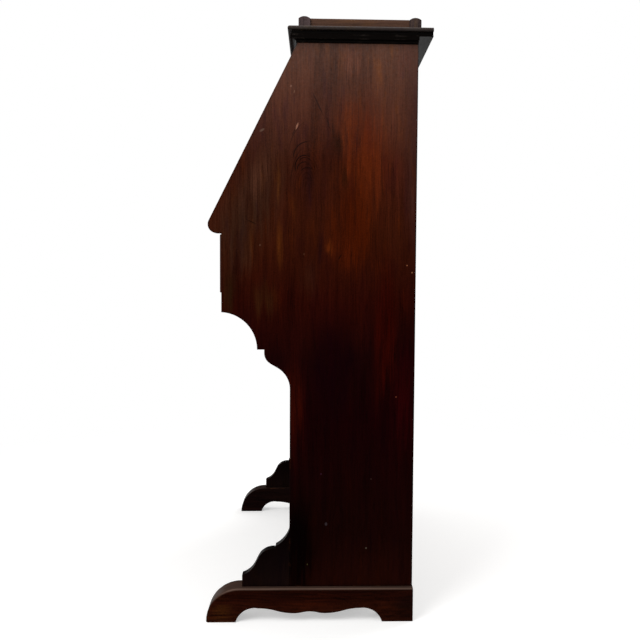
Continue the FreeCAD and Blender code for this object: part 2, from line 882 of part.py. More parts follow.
def make_keep_plate():
    """The brass plate in the top rail that the bolt shoots through."""
    above = FALL_LENGTH + S.fall_top_gap
    plate = fall_block(
        -S.keep_width / 2, above, KEEP_OUT, S.keep_width, S.keep_thick, S.keep_depth
    )
    slot = fall_block(
        -(S.bolt_width / 2 + S.lock_clear), above - S.overrun, BOLT_OUT - S.lock_clear,
        S.bolt_width + S.lock_clear * 2, S.keep_thick + S.overrun * 2, S.bolt_thick + S.lock_clear * 2,
    )
    return keep("lock_keep", cut(plate, slot))


def hinge_grooves():
    """The round groove that clears the knuckles of each hinge."""
    return [
        rod_across(x - S.hinge_length / 2 - S.knuckle_clear, PIVOT_Y, PIVOT_Z,
                   S.knuckle_radius + S.knuckle_clear, S.hinge_length + S.knuckle_clear * 2)
        for x in (HINGE_PLACE, -HINGE_PLACE)
    ]


def screw_blanks(on_fall):
    """Two screws for each leaf: a flat head let into the leaf and a shank below it."""
    blanks = []
    slots = []
    back = (S.hinge_leaf + S.knuckle_radius) / 2
    for hinge_x in (HINGE_PLACE, -HINGE_PLACE):
        for side in (1, -1):
            x = hinge_x + S.screw_pitch * side / 2
            if on_fall:
                head = fall_rod(x, back, ZERO, S.screw_head, S.screw_head_thick)
                shank = fall_rod(x, back, ZERO, S.screw_shank, S.screw_length)
                slot = fall_block(x - S.screw_head - S.overrun, back - S.screw_slot / 2, -S.overrun,
                                  S.screw_head * 2 + S.overrun * 2, S.screw_slot, S.overrun + S.screw_slot)
            else:
                y = PIVOT_Y + back
                head = rod(x, y, PIVOT_Z - S.screw_head_thick, S.screw_head, S.screw_head_thick)
                shank = rod(x, y, PIVOT_Z - S.screw_length, S.screw_shank, S.screw_length)
                slot = block(x - S.screw_head - S.overrun, y - S.screw_slot / 2, PIVOT_Z - S.screw_slot,
                             S.screw_head * 2 + S.overrun * 2, S.screw_slot, S.overrun + S.screw_slot)
            blanks.append(fuse(head, shank))
            slots.append(slot)
    return blanks, slots


def make_writing_board():
    """The fixed part of the writing surface, let out for the hinge leaves and their screws."""
    board = block(-INNER, PIVOT_Y, BOARD_UNDER, INNER * 2, BACK_FACE - PIVOT_Y, S.writing_thick)
    seats = [
        block(x - S.hinge_length / 2 - S.knuckle_clear, PIVOT_Y - S.overrun, PIVOT_Z - S.hinge_thick,
              S.hinge_length + S.knuckle_clear * 2, S.hinge_leaf + S.knuckle_clear + S.overrun,
              S.hinge_thick + S.overrun)
        for x in (HINGE_PLACE, -HINGE_PLACE)
    ]
    blanks, slots = screw_blanks(False)
    keep("writing_board", cut(board, *seats, *hinge_grooves(), *blanks))
    keep("hinge_board_screws", group(*[cut(blank, slot) for blank, slot in zip(blanks, slots)]))
    third = S.hinge_length / 3
    leaves = []
    for x in (HINGE_PLACE, -HINGE_PLACE):
        low = x - S.hinge_length / 2
        start = S.knuckle_radius + S.knuckle_clear
        flap = block(low, PIVOT_Y + start, PIVOT_Z - S.hinge_thick,
                     S.hinge_length, S.hinge_leaf - start, S.hinge_thick)
        tongue = block(low + third + S.end_gap, PIVOT_Y, PIVOT_Z - S.hinge_thick,
                       third - S.end_gap * 2, start + S.hinge_thick, S.hinge_thick)
        knuckle = rod_across(low + third + S.end_gap, PIVOT_Y, PIVOT_Z,
                             S.knuckle_radius, third - S.end_gap * 2)
        pin = rod_across(low, PIVOT_Y, PIVOT_Z, S.hinge_pin, S.hinge_length)
        leaves.append(cut(fuse(flap, tongue, knuckle, pin), *blanks))
    keep("hinge_board_leaves", group(*leaves))


def make_fall_hinges():
    """The leaves on the fall, with a knuckle at each end round the pin."""
    blanks, slots = screw_blanks(True)
    third = S.hinge_length / 3
    start = S.knuckle_radius + S.knuckle_clear
    leaves = []
    for x in (HINGE_PLACE, -HINGE_PLACE):
        low = x - S.hinge_length / 2
        pieces = [fall_block(low, start, ZERO, S.hinge_length, S.hinge_leaf - start, S.hinge_thick)]
        for shift in (ZERO, third * 2):
            pieces.append(fall_block(low + shift, ZERO, ZERO, third, start + S.hinge_thick, S.hinge_thick))
            pieces.append(rod_across(low + shift, PIVOT_Y, PIVOT_Z, S.knuckle_radius, third))
        bore = rod_across(low - S.overrun, PIVOT_Y, PIVOT_Z, S.hinge_pin + S.pin_clear,
                          S.hinge_length + S.overrun * 2)
        leaves.append(cut(fuse(*pieces), bore, *blanks))
    keep("hinge_fall_leaves", group(*leaves))
    keep("hinge_fall_screws", group(*[cut(blank, slot) for blank, slot in zip(blanks, slots)]))
    return blanks


def fall_board(label, low_x, high_x, outer_sides):
    """A board of the fall, drawn flat and set on the slope, with its outer arrises rounded."""
    body = new_body(label)
    outline = rectangle(low_x, S.fall_foot_gap, high_x, FALL_LENGTH)
    pad(body, "XY_Plane", outline, S.fall_thick)

    def outer_edge(middle, ends):
        along = near(middle.y, S.fall_foot_gap) or near(middle.y, FALL_LENGTH)
        outside = any(near(middle.x, side) for side in outer_sides)
        return near(middle.z, S.fall_thick) and (along or outside)

    soften(body, S.fall_edge_round, outer_edge)
    return place(body, ZERO, PIVOT_Y, PIVOT_Z, X_AXIS, SLOPE_TILT)


def make_fall(blanks):
    """The fall: a wide panel between two cleats, lined with leather, with its lock let in."""
    keep("fall_cleat_right", fall_board("cleat", CLEAT_JOINT, FALL_HALF, (FALL_HALF,)))
    keep("fall_cleat_left", fall_board("cleat", -FALL_HALF, -CLEAT_JOINT, (-FALL_HALF,)))
    panel = fall_board("panel", -CLEAT_JOINT, CLEAT_JOINT, ())
    leather_up = FALL_LENGTH - S.leather_margin_top - S.leather_margin_foot
    leather_half = CLEAT_JOINT - S.leather_margin_side
    leather_seat = fall_block(-leather_half, S.leather_margin_foot, -S.overrun,
                              leather_half * 2, leather_up, S.leather_depth + S.overrun)
    lock_seat = fall_block(-S.lock_width / 2, FALL_LENGTH - S.lock_height, -S.overrun,
                           S.lock_width, S.lock_height + S.overrun, S.lock_thick + S.overrun)
    hinge_seats = [
        fall_block(x - S.hinge_length / 2 - S.knuckle_clear, -S.overrun, -S.overrun,
                   S.hinge_length + S.knuckle_clear * 2, S.hinge_leaf + S.knuckle_clear + S.overrun,
                   S.hinge_thick + S.overrun)
        for x in (HINGE_PLACE, -HINGE_PLACE)
    ]
    tools = [leather_seat, lock_seat, *hinge_seats, *hinge_grooves(), *blanks, *keyhole(S.lock_clear)]
    keep("fall_panel", cut(panel, *tools))
    leather = fall_block(
        S.leather_joint - leather_half, S.leather_margin_foot + S.leather_joint,
        S.leather_depth - S.leather_thick, (leather_half - S.leather_joint) * 2,
        leather_up - S.leather_joint * 2, S.leather_thick,
    )
    keep("writing_leather", leather)


def keyhole(clearance):
    """A keyhole through the fall: a round hole for the shank and a slot for the bit."""
    low = S.lock_thick - S.lock_wall
    high = S.fall_thick + S.plate_thick + S.overrun
    hole = fall_rod(ZERO, KEY_UP, low, S.key_shank + clearance, high - low)
    slot = fall_block(ZERO, KEY_UP - S.key_bit_width / 2 - S.lock_clear, low,
                      S.key_bit + S.lock_clear, S.key_bit_width + S.lock_clear * 2, high - low)
    return hole, slot


def make_lock():
    """The lock: a case with a round chamber for the bit and a channel for the bolt."""
    case = fall_block(-S.lock_width / 2, FALL_LENGTH - S.lock_height, ZERO,
                      S.lock_width, S.lock_height, S.lock_thick)
    chamber_radius = S.key_bit + S.lock_clear * 2
    chamber = fall_rod(ZERO, KEY_UP, S.lock_wall, chamber_radius, S.lock_thick - S.lock_wall * 2)
    channel_low = KEY_UP + S.key_bit
    channel = fall_block(
        -(S.bolt_width / 2 + S.lock_clear), channel_low, BOLT_OUT - S.lock_clear,
        S.bolt_width + S.lock_clear * 2, FALL_LENGTH - channel_low + S.overrun,
        S.bolt_thick + S.lock_clear * 2,
    )
    keep("lock_case", cut(case, chamber, channel, *keyhole(S.pin_clear)))
    keep("lock_bolt", fall_block(-S.bolt_width / 2, FALL_LENGTH - S.bolt_length, BOLT_OUT,
                                 S.bolt_width, S.bolt_length, S.bolt_thick))
    plate = fall_rod(ZERO, KEY_UP, S.fall_thick, S.plate_radius, S.plate_thick)
    keep("escutcheon", cut(plate, *keyhole(S.lock_clear)))


def make_key():
    """The key: a shank with a bit inside the lock and a ring bow outside."""
    inside = S.lock_wall + S.lock_clear
    outside = S.fall_thick + S.plate_thick + S.key_stand
    shank = fall_rod(ZERO, KEY_UP, inside, S.key_shank, outside - inside)
    bit_low = (S.lock_thick - S.key_bit_thick) / 2
    bit = fall_block(ZERO, KEY_UP - S.key_bit_width / 2, bit_low,
                     S.key_bit, S.key_bit_width, S.key_bit_thick)
    collar = fall_rod(ZERO, KEY_UP, S.fall_thick + S.plate_thick + S.key_collar_rise,
                      S.key_collar, S.key_collar_thick)
    bow_y, bow_z = fall_point(KEY_UP, outside + S.key_bow - S.key_bow_thick / 2)
    disc = rod_across(-S.key_bow_thick / 2, bow_y, bow_z, S.key_bow, S.key_bow_thick)
    hole = rod_across(-S.key_bow_thick, bow_y, bow_z, S.key_bow_hole, S.key_bow_thick * 2)
    keep("key", fuse(shank, bit, collar, cut(disc, hole)))


def span(sign, low, high):
    """The same stretch of X on the right (1) or the left (-1)."""
    return (low, high) if sign > 0 else (-high, -low)


def make_drawer_space():
    """The rail and the dust board under the drawer, and the runners and dividers beside it."""
    keep("drawer_rail", block(-INNER, FRONT, COVE_TOP_Z, INNER * 2, S.rail_depth, S.rail_height))
    inside = FRONT + S.rail_depth
    depth = BACK_FACE - inside
    keep("dust_board", block(-INNER, inside, COVE_TOP_Z, INNER * 2, depth, S.dust_thick))
    for side, sign in (("right", 1), ("left", -1)):
        low, high = span(sign, INNER - S.runner_width, INNER)
        keep("drawer_runner_" + side,
             block(low, inside, COVE_TOP_Z + S.dust_thick, high - low, depth,
                   S.rail_height - S.dust_thick))
        low, high = span(sign, DIVIDER_IN, DIVIDER_OUT)
        keep("drawer_divider_" + side,
             block(low, FRONT, RUNNER_TOP, high - low, BACK_FACE - FRONT, BOARD_UNDER - RUNNER_TOP))


def lipped_front(label, lip_low, lip_high, low, high, back_y, body_low, body_high):
    """A board whose front overlaps the frame round it, with the lip's edge rounded."""
    body = new_body(label)
    lip = rectangle(lip_low, LIP_FACE, lip_high, FRONT - S.end_gap)
    pad(body, "XY_Plane", lip, LIP_TOP - LIP_BOTTOM, LIP_BOTTOM)
    behind = rectangle(low, FRONT - S.end_gap, high, back_y)
    pad(body, "XY_Plane", behind, body_high - body_low, body_low)
    soften(body, S.lip_round, lambda middle, ends: near(middle.y, LIP_FACE))
    return keep(label, body)


def make_lopers():
    """The two sliding supports for the open fall, one each side of the drawer."""
    for side, sign in (("right", 1), ("left", -1)):
        lip = span(sign, LIP_HALF + S.lip_joint, INNER + S.lip_overlap)
        bar = span(sign, DIVIDER_OUT + S.slide_gap, INNER - S.slide_gap)
        lipped_front("loper_" + side, *lip, *bar, BACK_FACE - S.loper_back_gap,
                     DRAWER_LOW, BOARD_UNDER - S.end_gap)


def make_drawer():
    """The long drawer: a lipped front, two sides, a back and a bottom let up between them."""
    lipped_front("drawer_front", -LIP_HALF, LIP_HALF, -DRAWER_HALF, DRAWER_HALF, FRONT_BACK,
                 DRAWER_LOW, LIP_TOP)
    side_top = LIP_TOP - S.drawer_side_drop
    rear = BACK_FACE - S.drawer_back_gap
    inner = DRAWER_HALF - S.drawer_side_thick
    bottom = DRAWER_LOW + S.drawer_bottom_rise
    floor = bottom + S.drawer_bottom_thick
    for side, sign in (("right", 1), ("left", -1)):
        low, high = span(sign, inner, DRAWER_HALF)
        keep("drawer_side_" + side,
             block(low, FRONT_BACK, DRAWER_LOW, high - low, rear - FRONT_BACK, side_top - DRAWER_LOW))
    keep("drawer_back", block(-inner, rear - S.drawer_back_thick, floor,
                              inner * 2, S.drawer_back_thick, side_top - floor))
    keep("drawer_bottom", block(-inner, FRONT_BACK, bottom,
                                inner * 2, rear - FRONT_BACK, S.drawer_bottom_thick))


def make_handles():
    """Two drop handles: a rosette and an eye post at each end of a swinging bail."""
    posts = []
    for place_x in (S.handle_place, -S.handle_place):
        for side in (1, -1):
            x = place_x + S.handle_span * side / 2
            rosette = rod_forward(x, LIP_FACE, HANDLE_Z, S.rosette_radius, S.rosette_thick)
            post = rod_forward(x, LIP_FACE, HANDLE_Z, S.post_radius, S.eye_reach)
            eye = document.addObject("Part::Sphere", "Eye")
            eye.setExpression("Radius", S.eye_radius.text)
            place(eye, x, EYE_Y, HANDLE_Z)
            bore = rod_across(x - S.eye_radius * 2, EYE_Y, HANDLE_Z, S.eye_bore, S.eye_radius * 4)
            posts.append(cut(fuse(rosette, post, eye), bore))
    keep("handle_posts", group(*posts))
    for side, place_x in (("right", S.handle_place), ("left", -S.handle_place)):
        body = new_body("bail_" + side)
        end_x = S.handle_span / 2 - S.eye_radius
        arm_x = S.handle_span / 2 + S.bail_overhang
        low_z = HANDLE_Z - S.bail_drop
        bend = S.bail_bend
        route = [
            (-end_x, HANDLE_Z),
            (bend - arm_x, HANDLE_Z, bend, ARC_LEFT),
            (-arm_x, HANDLE_Z - bend),
            (-arm_x, low_z + bend, bend, ARC_LEFT),
            (bend - arm_x, low_z),
            (arm_x - bend, low_z, bend, ARC_LEFT),
            (arm_x, low_z + bend),
            (arm_x, HANDLE_Z - bend, bend, ARC_LEFT),
            (arm_x - bend, HANDLE_Z),
            (end_x, HANDLE_Z),
        ]
        path = draw(body, "XZ_Plane", route, -EYE_Y, closed=False)
        ring = body.newObject("Sketcher::SketchObject", "Ring")
        support = [item for item in body.Origin.OriginFeatures if item.Role == "YZ_Plane"][0]
        ring.AttachmentSupport = [(support, "")]
        ring.MapMode = "FlatFace"
        ring.setExpression("AttachmentOffset.Base.z", (-end_x).text)
        centre = FreeCAD.Vector(EYE_Y.value, HANDLE_Z.value, 0)
        ring.addGeometry(Part.Circle(centre, Z_AXIS, S.bail_radius.value))
        for kind, size in (("DistanceX", EYE_Y), ("DistanceY", HANDLE_Z)):
            number = ring.addConstraint(Sketcher.Constraint(kind, 0, 3, size.value))
            ring.setExpression("Constraints[%d]" % number, size.text)
        number = ring.addConstraint(Sketcher.Constraint("Radius", 0, S.bail_radius.value))
        ring.setExpression("Constraints[%d]" % number, S.bail_radius.text)
        pipe = body.newObject("PartDesign::AdditivePipe", "Wire")
        pipe.Profile = ring
        pipe.Spine = path
        document.recompute()
        place(body, place_x, ZERO, ZERO)
        keep("handle_bail_" + side, body)


def make_nest():
    """The stationery nest: ends, dividers, shelves and partitions under one top."""
    under = NEST_TOP - S.nest_board
    keep("nest_top", block(-INNER, NEST_Y, under, INNER * 2, NEST_DEPTH, S.nest_board))
    upright = under - PIVOT_Z
    shelves = [block(-S.nest_middle / 2, NEST_Y, NEST_SHELF_Z,
                     S.nest_middle, NEST_DEPTH, S.nest_board)]
    partitions = []
    for side, sign in (("right", 1), ("left", -1)):
        low, high = span(sign, NEST_BAY_OUT, INNER)
        keep("nest_end_" + side, block(low, NEST_Y, PIVOT_Z, high - low, NEST_DEPTH, upright))
        low, high = span(sign, S.nest_middle / 2, NEST_BAY_IN)
        keep("nest_divider_" + side, block(low, NEST_Y, PIVOT_Z, high - low, NEST_DEPTH, upright))
        low, high = span(sign, NEST_BAY_IN, NEST_BAY_OUT)
        shelves.append(block(low, NEST_Y, NEST_DRAWER_TOP, high - low, NEST_DEPTH, S.nest_board))
        middle = (low + high) / 2
        above = NEST_DRAWER_TOP + S.nest_board
        partitions.append(block(middle - S.partition_thick / 2, NEST_Y, above,
                                S.partition_thick, NEST_DEPTH, under - above))
    keep("nest_shelves", group(*shelves))
    keep("nest_partitions", group(*partitions))


def make_small_drawers():
    """The two small drawers of the nest, each a front, a tray and a turned knob."""
    for side, sign in (("right", 1), ("left", -1)):
        low, high = span(sign, NEST_BAY_IN + S.slide_gap, NEST_BAY_OUT - S.slide_gap)
        bottom = PIVOT_Z + S.end_gap
        top = NEST_DRAWER_TOP - S.slide_gap
        keep("small_drawer_%s_front" % side,
             block(low, NEST_Y, bottom, high - low, S.small_front_thick, top - bottom))
        start = NEST_Y + S.small_front_thick
        length = NEST_DEPTH - S.small_back_gap - S.small_front_thick
        high_z = top - S.small_side_drop
        wall = S.small_side_thick
        floor = bottom + S.small_bottom_rise + S.small_bottom_thick
        tray = group(
            block(low, start, bottom, wall, length, high_z - bottom),
            block(high - wall, start, bottom, wall, length, high_z - bottom),
            block(low + wall, start + length - wall, floor, high - low - wall * 2, wall, high_z - floor),
            block(low + wall, start, bottom + S.small_bottom_rise,
                  high - low - wall * 2, length, S.small_bottom_thick),
        )
        keep("small_drawer_%s_tray" % side, tray)
        middle_x = (low + high) / 2
        middle_z = (bottom + top) / 2
        base = rod_forward(middle_x, NEST_Y, middle_z, S.knob_base, S.knob_base_thick)
        neck = rod_forward(middle_x, NEST_Y, middle_z, S.knob_neck,
                           S.knob_length - S.knob_crown)
        head = document.addObject("Part::Ellipsoid", "Head")
        head.setExpression("Radius1", S.knob_crown.text)
        head.setExpression("Radius2", S.knob_radius.text)
        head.setExpression("Radius3", S.knob_radius.text)
        place(head, middle_x, NEST_Y - S.knob_length + S.knob_crown, middle_z, X_AXIS, QUARTER_TURN)
        keep("small_drawer_%s_knob" % side, fuse(base, neck, head))


def make_all():
    make_side("side_right", INNER)
    make_side("side_left", -HALF)
    foot_outer = HALF + S.foot_proud
    make_foot("foot_right", foot_outer - S.foot_thick, foot_outer)
    make_foot("foot_left", -foot_outer, -foot_outer)
    make_bracket("foot_bracket_right", INNER)
    make_bracket("foot_bracket_left", -HALF)
    make_top_board()
    make_bed_moulding()
    make_gallery()
    make_back()
    make_shelf("shelf_lower", S.shelf_lower_height)
    make_shelf("shelf_upper", S.shelf_upper_height)
    make_plinth()
    make_top_rail()
    make_keep_plate()
    make_writing_board()
    make_fall(make_fall_hinges())
    make_lock()
    make_key()
    make_drawer_space()
    make_lopers()
    make_drawer()
    make_handles()
    make_nest()
    make_small_drawers()


def check_and_write():
    """Stops on any failed object or bad shape, then writes one file for each sub-part."""
    document.recompute()
    for item in document.Objects:
        if "Invalid" in item.State or "Error" in item.State:
            raise RuntimeError("%s (%s) failed: %s" % (item.Name, item.Label, item.State))
    bad = [
        label for label, item in NODES.items()
        if item.Shape.isNull() or not item.Shape.isValid() or not item.Shape.Solids
    ]
    if bad:
        raise RuntimeError("no valid solid: " + ", ".join(bad))
    os.makedirs("parts", exist_ok=True)
    for label, item in NODES.items():
        item.Shape.exportStep(os.path.join("parts", label + ".step"))
        box = item.Shape.BoundBox
        print("%-24s %d solids  x %.1f..%.1f  y %.1f..%.1f  z %.1f..%.1f" % (
            label, len(item.Shape.Solids), box.XMin, box.XMax, box.YMin, box.YMax, box.ZMin, box.ZMax))
    print("%d sub-parts" % len(NODES))


make_all()
check_and_write()
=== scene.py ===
"""Finishes and small fittings of a writing bureau with a sloping fall, in metres.

X runs across the bureau, Y from its front to its back and Z up from the floor.
"""

import json
import logging
import math
from dataclasses import dataclass, field, replace
from enum import Enum
from typing import Any

import bmesh
import bpy
import numpy as np
from mathutils import Matrix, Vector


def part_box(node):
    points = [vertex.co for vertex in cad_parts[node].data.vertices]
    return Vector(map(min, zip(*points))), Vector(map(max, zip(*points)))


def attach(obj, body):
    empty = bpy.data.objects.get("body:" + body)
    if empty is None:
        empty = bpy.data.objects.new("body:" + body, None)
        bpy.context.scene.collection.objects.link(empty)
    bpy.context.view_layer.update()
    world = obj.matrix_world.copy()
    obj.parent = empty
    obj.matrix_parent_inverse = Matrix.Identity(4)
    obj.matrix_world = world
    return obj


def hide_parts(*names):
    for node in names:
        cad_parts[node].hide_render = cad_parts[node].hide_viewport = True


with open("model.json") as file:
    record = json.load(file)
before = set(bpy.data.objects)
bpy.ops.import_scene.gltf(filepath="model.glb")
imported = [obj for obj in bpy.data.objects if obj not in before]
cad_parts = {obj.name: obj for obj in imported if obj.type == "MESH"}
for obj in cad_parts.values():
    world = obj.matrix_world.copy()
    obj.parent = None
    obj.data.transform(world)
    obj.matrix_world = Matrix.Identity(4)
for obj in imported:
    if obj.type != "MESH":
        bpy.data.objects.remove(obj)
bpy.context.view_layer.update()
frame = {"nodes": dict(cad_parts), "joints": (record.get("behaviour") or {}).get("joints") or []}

log = logging.getLogger("bureau")

Colour = tuple[float, float, float]
JOINTS = {joint["name"]: joint for joint in frame["joints"]}
HINGE = np.array(JOINTS["fall_hinge"]["pos_m"])
LEAN = math.radians(JOINTS["fall_hinge"]["range_deg"][1] - 90.0)
UP_SLOPE = np.array([0.0, math.sin(LEAN), math.cos(LEAN)])
OFF_SLOPE = np.array([0.0, -math.cos(LEAN), math.sin(LEAN)])
RIGHT, BACKWARD, UP = np.eye(3)
WHITE = (1.0, 1.0, 1.0, 1.0)


def tone(red: float, green: float, blue: float) -> Colour:
    """Turns a screen colour into the linear colour that a shader takes.

    Args:
        red, green, blue: the screen colour, from 0 to 255.

    Returns:
        The linear colour, by the standard screen curve.
    """
    screen = np.array([red, green, blue]) / 255.0
    linear = np.where(screen <= 0.04045, screen / 12.92, ((screen + 0.055) / 1.055) ** 2.4)
    return tuple(float(part) for part in linear)


class Wire:
    """An output of a node that takes part in Python sums."""

    def __init__(self, bench: "Bench", socket: bpy.types.NodeSocket | None) -> None:
        """Keeps the socket and the bench that it belongs to."""
        self.bench = bench
        self.socket = socket

    def __add__(self, other: "Wire | float") -> "Wire":
        """This plus another."""
        return self.bench.sum_of("ADD", self, other)

    def __sub__(self, other: "Wire | float") -> "Wire":
        """This less another."""
        return self.bench.sum_of("SUBTRACT", self, other)

    def __rsub__(self, other: float) -> "Wire":
        """A number less this."""
        return self.bench.sum_of("SUBTRACT", other, self)

    def __mul__(self, other: "Wire | float") -> "Wire":
        """This times another."""
        return self.bench.sum_of("MULTIPLY", self, other)

    def __truediv__(self, other: "Wire | float") -> "Wire":
        """This over another."""
        return self.bench.sum_of("DIVIDE", self, other)

    def __pow__(self, other: float) -> "Wire":
        """This to a power."""
        return self.bench.sum_of("POWER", self, other)

    __radd__ = __add__
    __rmul__ = __mul__


class Bench:
    """The node tree of a material or of the world, where a finish is mixed."""

    def __init__(self, holder: bpy.types.Material | bpy.types.World) -> None:
        """Empties the tree of a material or of the world.

        Args:
            holder: what the tree belongs to.
        """
        holder.use_nodes = True
        self.holder = holder
        self.tree = holder.node_tree
        self.tree.nodes.clear()

    def node(self, kind: str, settings: dict[str, Any], values: dict[Any, Any],
             output: Any = 0) -> Wire:
        """Adds a node, sets it and feeds its sockets.

        Args:
            kind: the node's type.
            settings: its properties; "stops" are a ramp's places and colours.
            values: its sockets by name or number, each a number, a colour or a wire.
            output: the output that is wanted, by name or number.

        Returns:
            That output, or nothing in the wire where the node has none.
        """
        made = self.tree.nodes.new(kind)
        for key, value in settings.items():
            if key == "stops":
                ramp = made.color_ramp.elements
                while len(ramp) < len(value):
                    ramp.new(1.0)
                for element, (place, colour) in zip(ramp, value):
                    element.position = place
                    element.color = (*colour, 1.0)
            else:
                setattr(made, key, value)
        for key, value in values.items():
            if isinstance(value, Wire):
                self.tree.links.new(value.socket, made.inputs[key])
            else:
                made.inputs[key].default_value = value
        return Wire(self, made.outputs[output] if made.outputs else None)

    def sum_of(self, operation: str, first: Any, second: Any = 0.0) -> Wire:
        """One step of arithmetic on values."""
        return self.node("ShaderNodeMath", {"operation": operation}, {0: first, 1: second})

    def smooth(self, value: Any, low: float, high: float) -> Wire:
        """A smooth step.

        Args:
            value: what is stepped.
            low: where the step is 0.
            high: where it is 1; it may be less than low.

        Returns:
            A value that rises or falls between the two and is level outside them.
        """
        return self.node(
            "ShaderNodeMapRange",
            {"interpolation_type": "SMOOTHSTEP"},
            {"Value": value, "From Min": min(low, high), "From Max": max(low, high),
             "To Min": 0.0 if low < high else 1.0, "To Max": 1.0 if low < high else 0.0},
        )

    def vector(self, x: Any, y: Any, z: Any) -> Wire:
        """A vector from three values."""
        return self.node("ShaderNodeCombineXYZ", {}, {0: x, 1: y, 2: z})

    def parts(self, vector: Wire) -> tuple[Wire, Wire, Wire]:
        """The three parts of a vector."""
        first = self.node("ShaderNodeSeparateXYZ", {}, {0: vector})
        return tuple(Wire(self, socket) for socket in first.socket.node.outputs)

    def place(self) -> Wire:
        """Places on the piece in its own coordinates."""
        return self.node("ShaderNodeTexCoord", {}, {}, "Object")

    def noise(self, vector: Wire, scale: float, detail: float = 2.0, rough: float = 0.5) -> Wire:
        """Soft noise from 0 to 1 about a half.

        Args:
            vector: the places.
            scale: how many waves there are in a unit.
            detail: how many finer noises lie over it.
            rough: how strong those are.

        Returns:
            The noise.
        """
        values = {"Vector": vector, "Scale": scale, "Detail": detail, "Roughness": rough}
        return self.node("ShaderNodeTexNoise", {}, values)

    def streaks(self, run: tuple[Wire, Wire, Wire], kind: "Streaks") -> Wire:
        """Noise drawn out along the grain.

        Args:
            run: the board's width, thickness and length at a place.
            kind: how far it is drawn out, and its detail.

        Returns:
            The noise.
        """
        width, thick, length = run
        place = self.vector(width * kind.across, thick * kind.across, length * kind.along)
        return self.noise(place, 1.0, kind.detail, kind.rough)

    def mix(self, share: Any, under: Any, over: Any, kind: str = "MIX") -> Wire:
        """Lays one colour over another.

        Args:
            share: how much of the upper colour is taken.
            under: the lower colour.
            over: the upper colour.
            kind: how they are blended.

        Returns:
            The colour.
        """
        under, over = ((*c, 1.0) if isinstance(c, tuple) else c for c in (under, over))
        settings = {"data_type": "RGBA", "blend_type": kind}
        return self.node("ShaderNodeMix", settings, {0: share, 6: under, 7: over}, 2)

    def ramp(self, value: Any, stops: tuple[tuple[float, Colour], ...]) -> Wire:
        """A colour read from a row of stops."""
        return self.node("ShaderNodeValToRGB", {"stops": stops}, {0: value})

    def scaled(self, colour: Wire, by: Any) -> Wire:
        """A colour made lighter or darker."""
        return self.node("ShaderNodeVectorMath", {"operation": "SCALE"}, {0: colour, "Scale": by})

    def dot(self, first: Any, second: Any) -> Wire:
        """How far two directions agree."""
        settings = {"operation": "DOT_PRODUCT"}
        return self.node("ShaderNodeVectorMath", settings, {0: first, 1: second}, "Value")

    def reach(self, place: Wire, at: tuple[float, float, float], half: tuple[float, float, float],
              turn: float) -> tuple[Wire, Wire]:
        """Measures places from a middle, in half sizes.

        Args:
            place: places on the piece.
            at: the middle.
            half: the half sizes.
            turn: how far they are turned about X, in degrees.

        Returns:
            The places measured so, and their distance from the middle.
        """
        spin = (math.radians(turn), 0.0, 0.0)
        values = {"Vector": place, "Location": at, "Rotation": spin, "Scale": half}
        local = self.node("ShaderNodeMapping", {"vector_type": "TEXTURE"}, values)
        settings = {"operation": "LENGTH"}
        return local, self.node("ShaderNodeVectorMath", settings, {0: local}, "Value")

    def spot(self, place: Wire, at: tuple[float, float, float], half: tuple[float, float, float],
             turn: float = 0.0, edge: float = 0.5) -> Wire:
        """A soft oval on a face that looks along X.

        Args:
            place: places on the piece.
            at: the middle of the oval.
            half: its half sizes; a large first size lets it run through the board.
            turn: how far it is turned about X, in degrees.
            edge: the share of its radius that is full.

        Returns:
            1 inside and 0 outside: the distance from the middle, in half sizes, goes through a
            smooth step.
        """
        return self.smooth(self.reach(place, at, half, turn)[1], 1.0, edge)

    def arc(self, place: Wire, at: tuple[float, float, float], half: tuple[float, float, float],
            thick: float, middle: float, limit: float) -> Wire:
        """Part of an oval line on a face that looks along X.

        Args:
            place: places on the piece.
            at: the middle of the oval.
            half: its half sizes; a large first size lets it run through the board.
            thick: half the line's thickness, as a share of the radius.
            middle: the way from the oval's middle to the line's own, in degrees from Y.
            limit: the cosine of the angle from there to the line's ends.

        Returns:
            1 on the line and 0 off it: the distance from the middle, in half sizes, is near 1 and
            the place lies within the angle.
        """
        local, length = self.reach(place, at, half, 0.0)
        way = (0.0, math.cos(math.radians(middle)), math.sin(math.radians(middle)))
        off = self.sum_of("ABSOLUTE", length - 1.0)
        ends = self.smooth(self.dot(local, way), limit - 0.1, limit + 0.15)
        return self.smooth(off, thick, thick * 0.2) * ends

    def finish(self, colour: Any, roughness: Any, height: Any, lift: float, settings: dict[str, Any],
               round_to: float = 0.0) -> bpy.types.Material:
        """Joins the colour, the gloss and the relief into the surface.

        Args:
            colour: the base colour.
            roughness: the gloss, from 0, sharp, to 1, dull.
            height: the relief, as a value.
            lift: how high one unit of relief stands, in metres.
            settings: other sockets of the shader.
            round_to: the radius to which hard edges are softened, in metres.

        Returns:
            The finished material.
        """
        relief = {"Height": height, "Distance": lift, "Strength": 1.0}
        if round_to:
            relief["Normal"] = self.node("ShaderNodeBevel", {"samples": 4}, {"Radius": round_to})
        bump = self.node("ShaderNodeBump", {}, relief)
        sockets = {"Base Color": colour, "Roughness": roughness, "Normal": bump, **settings}
        shader = self.node("ShaderNodeBsdfPrincipled", {}, sockets)
        self.node("ShaderNodeOutputMaterial", {}, {"Surface": shader})
        return self.holder


